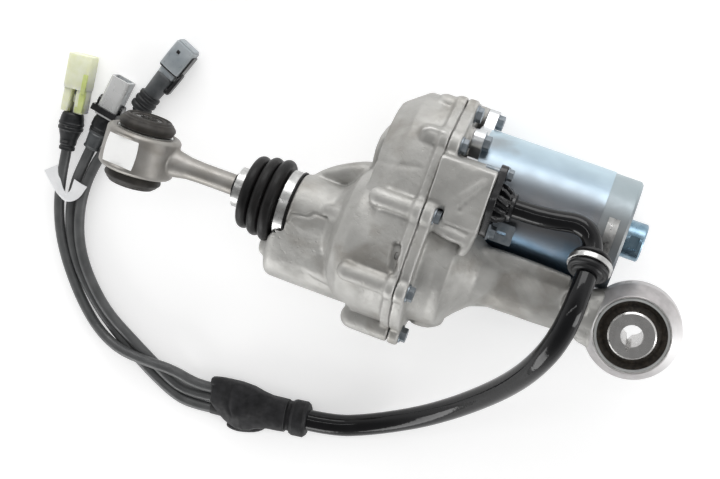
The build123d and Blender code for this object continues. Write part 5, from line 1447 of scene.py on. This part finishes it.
@dataclass(frozen=True)
class Plug:
    """Cable boot, sleeve and connector on the end of a branch.

    The outlines of the boot and the sleeve are rows of distance and radius. Marks are the distance
    and the radius of small bars that stand on the boot's top.
    """

    number: int
    end: tuple
    turn: float
    height: float
    boot_outline: tuple
    marks: tuple = ()
    sleeve_name: str = ""
    sleeve_outline: tuple = ()
    sleeve_cut: float = 0.4
    stub: float = 0.0
    mouldings: tuple = ()
    cad_nodes: tuple = ()

    def frame(self) -> tuple:
        """Directions of the plug.

        Returns:
            Origin at the cable's end, and the directions across, up and along the plug.
        """
        angle = math.radians(self.turn)
        way = np.array([math.cos(angle), math.sin(angle), 0.0])
        return np.array([*self.end, FLOOR_Z + self.height]), np.cross(way, UP), UP, way

    def tube(self, outline: tuple, cut: float) -> tuple:
        """Skin turned about the plug's middle line and closed at both ends.

        Args:
            outline: Rows of distance and radius.
            cut: Distance from a corner to the start of its rounding.

        Returns:
            The vertices and the list of faces.
        """
        origin, _, up, way = self.frame()
        profile = eased([(outline[0][0], HUB), *outline, (outline[-1][0], HUB)], cut)
        return skin(turned(profile, origin, way, up, 64))

    def boot(self) -> bpy.types.Object:
        """Turned boot with its marks.

        Returns:
            The piece.
        """
        origin, across, up, way = self.frame()
        parts = [self.tube(self.boot_outline, 0.45)]
        for at, radius in self.marks:
            middle = origin + way * at + up * (radius - 0.5)
            path = [middle - across * 2.1, middle + across * 2.1]
            parts.append(bar(path, [(0.8, 0.9), (0.8, 0.9)], up, 5.0, 0.4))
        return make_piece(f"cable_boot_{self.number}", joined(parts), BACKSHELL,
                          (f"backshell_{self.number}",))

    def bare_end(self) -> bpy.types.Object:
        """Bare end of the cable in front of the boot.

        Returns:
            The piece.
        """
        origin, _, up, way = self.frame()
        hub, start, end = 0.3, -0.3, self.stub
        profile = np.array([(start, hub), (start, CABLE_RADIUS), (end, CABLE_RADIUS), (end, hub)])
        shape = skin(turned(profile, origin, way, up, 48))
        return make_piece(f"cable_end_{self.number}", shape, CABLE_GREY)

    def blocks(self, rows: tuple) -> tuple:
        """Skin of several blocks.

        Args:
            rows: The blocks.

        Returns:
            The vertices and the list of faces.
        """
        origin, across, up, way = self.frame()
        parts = []
        for block in rows:
            middle = origin + across * block.offset[0] + up * block.offset[1]
            ends = middle + way * block.start, middle + way * block.end
            path = [ends[0], middle + way * (block.start + block.end) / 2, ends[1]]
            parts.append(bar(path, [block.halves] * 3, up, block.power, block.ease, 48))
        return joined(parts)

    def build(self) -> list:
        """Makes the pieces of the plug.

        Returns:
            The pieces and the names of its CAD nodes.
        """
        made = [self.boot()]
        if self.sleeve_outline:
            sleeve = self.tube(self.sleeve_outline, self.sleeve_cut)
            made.append(make_piece(self.sleeve_name, sleeve, BACKSHELL_GREY))
        if self.stub > 0.0:
            made.append(self.bare_end())
        for part in self.mouldings:
            made.append(make_piece(part.name, self.blocks(part.blocks), part.finish, part.nodes))
        return [*made, *self.cad_nodes]


@dataclass
class Plugs:
    """The three plugs, the lever and the flag label."""

    yellow: Plug = Plug(
        1, (-413.5, -37.0), 95.0, 9.3,
        ((9.2, 5.0), (9.6, 5.7), (11.5, 5.8), (12.0, 5.2), (13.0, 5.2), (13.6, 5.9), (17.5, 6.2),
         (21.6, 7.5), (23.8, 8.2), (24.4, 9.0), (26.2, 9.1), (26.7, 8.5), (27.5, 8.5), (28.0, 9.1),
         (29.4, 9.1), (30.0, 8.6), (33.0, 8.3), (35.8, 7.5), (37.0, 6.4)),
        marks=((16.0, 6.0),), stub=10.0,
        mouldings=(
            Moulding("frosted_connector", CONNECTOR_YELLOW, (
                Block(54.0, 78.8, (9.1, 7.4)), Block(37.2, 56.0, (3.0, 6.6), (-5.4, -0.6)),
                Block(37.2, 56.0, (3.6, 6.6), (4.8, -0.6)), Block(37.2, 56.0, (8.0, 2.2), (0.0, -4.6)),
                Block(44.0, 50.0, (1.6, 1.4), (0.0, 0.6))), ("connector_1",)),
            Moulding("green_latch", CONNECTOR_GREEN, (
                Block(38.0, 57.0, (2.1, 1.6), (6.6, 5.6)), Block(37.6, 42.0, (3.2, 2.2), (5.4, 4.2)),
                Block(52.0, 66.0, (1.7, 1.2), (6.8, 7.0)))),
        ))
    pale: Plug = Plug(
        2, (-398.0, -23.0), 80.0, 7.7,
        ((14.8, 5.6), (15.2, 6.6), (16.0, 7.3), (17.0, 7.4), (17.6, 6.9), (18.4, 7.1), (19.2, 7.6),
         (24.0, 7.5), (27.0, 6.6), (28.0, 5.2)),
        sleeve_name="ringed_sleeve",
        sleeve_outline=((2.4, 5.9), (3.4, 6.1), (4.0, 5.5), (5.0, 5.6), (13.4, 6.4), (14.2, 7.0),
                        (15.4, 7.0)),
        sleeve_cut=0.35, stub=3.0, cad_nodes=("connector_2", "connector_lever"))
    blue: Plug = Plug(
        3, (-371.5, 15.5), 67.0, 8.6,
        ((0, 4.6), (2.0, 5.0), (2.8, 7.6), (3.8, 8.1), (6.2, 8.2), (6.9, 7.3), (7.9, 7.3), (8.6, 8.2),
         (11.0, 8.2), (11.7, 7.4), (12.7, 7.4), (13.4, 8.0), (15.6, 7.9), (16.4, 6.5)),
        sleeve_name="grey_sleeve",
        sleeve_outline=((15.8, 6.3), (22.0, 6.7), (33.0, 7.1), (34.4, 6.4)),
        mouldings=(
            Moulding("blue_connector", CONNECTOR_BLUE, (
                Block(39.4, 59.8, (8.2, 6.6), (-0.6, 0.4), 9.0, 1.0),
                Block(33.4, 41.0, (6.8, 5.4), (-0.4, 0.0), 3.0, 1.0),
                Block(58.0, 61.0, (7.4, 5.8), (-0.6, 0.4), 9.0, 0.4)), ("connector_3",)),
            Moulding("black_latch", BLACK_PLASTIC, (
                Block(52.6, 55.0, (1.3, 0.5), (-2.4, 7.0), 2.0, 0.2),
                Block(38.2, 40.4, (8.0, 6.2), (-0.6, 0.2)),
                Block(25.0, 42.0, (1.5, 3.0), (8.6, 1.0), 5.0),
                Block(24.0, 28.0, (3.0, 2.4), (6.6, 1.0), 5.0),
                Block(41.0, 57.0, (0.6, 4.4), (8.2, 0.4), 6.0, 0.3))),
        ))
    label_line: tuple = (
        (-421.5, -43.5, -45.5), (-415.5, -50.5, -44.6), (-409.5, -57.0, -44.2), (-403.5, -59.8, -44.2),
        (-398.4, -55.6, -44.6), (-396.4, -46.6, -45.2),
    )
    label_thickness: float = 0.4
    label_sag: float = 0.9

    def label(self) -> bpy.types.Object:
        """Flag label: a strip that hangs over two cables in a V and widens to both of its ends.

        Its middle line runs through the route; its half width is 2.6 + 2.9 |u|^1.2 for u from -1 to 1,
        and its sides sag by v^2 for v from -1 to 1.

        Returns:
            The piece.
        """
        u, v = np.meshgrid(np.linspace(-1.0, 1.0, 41), np.linspace(-1.0, 1.0, 9), indexing="ij")
        line = np.array(self.label_line)
        line = smooth_line(line, (u[:, 0] + 1.0) / 2.0 * (len(line) - 1))
        out = np.cross(UP, np.gradient(line, axis=0))
        out /= np.linalg.norm(out, axis=1)[:, None]
        half = 2.6 + 2.9 * np.abs(u) ** 1.2
        sag = (self.label_sag * v**2)[..., None] * UP
        top = line[:, None] + (half * v)[..., None] * out[:, None] - sag
        below = (top - self.label_thickness * UP)[:, ::-1]
        shape = skin(np.concatenate([top, below], axis=1))
        return make_piece("bare_flag", shape, LABEL, ("flag_label",))

    def build(self) -> list:
        """Makes everything on the ends of the branches.

        Returns:
            A list of the pieces on each branch.
        """
        yellow = [*self.yellow.build(), self.label()]
        return [yellow, self.pale.build(), self.blue.build()]


def dress_nodes(nodes: dict) -> None:
    """Gives each CAD node the finish of its slot.

    Args:
        nodes: The CAD nodes by name.
    """
    for name, node in nodes.items():
        slots = [s.material.name.split(".")[0] for s in node.material_slots if s.material]
        finish = NODE_FINISH.get(name) or SLOT_FINISH[slots[0]]
        node.data.materials.clear()
        node.data.materials.append(finish.material())
        log.info("node %s in %s", name, finish.name)


def main() -> None:
    """Builds every sub-assembly in order."""
    logging.basicConfig(level=logging.INFO, format="%(name)s: %(message)s")
    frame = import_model()
    Studio().build()
    dress_nodes(frame["nodes"])
    Castings().build(frame["nodes"])
    Bellows().build()
    BallJoint().build(frame["nodes"])
    CableEntry().build()
    CableTree().build(Splitter().build(), Plugs().build())
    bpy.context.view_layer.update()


if __name__ == "__main__":
    main()
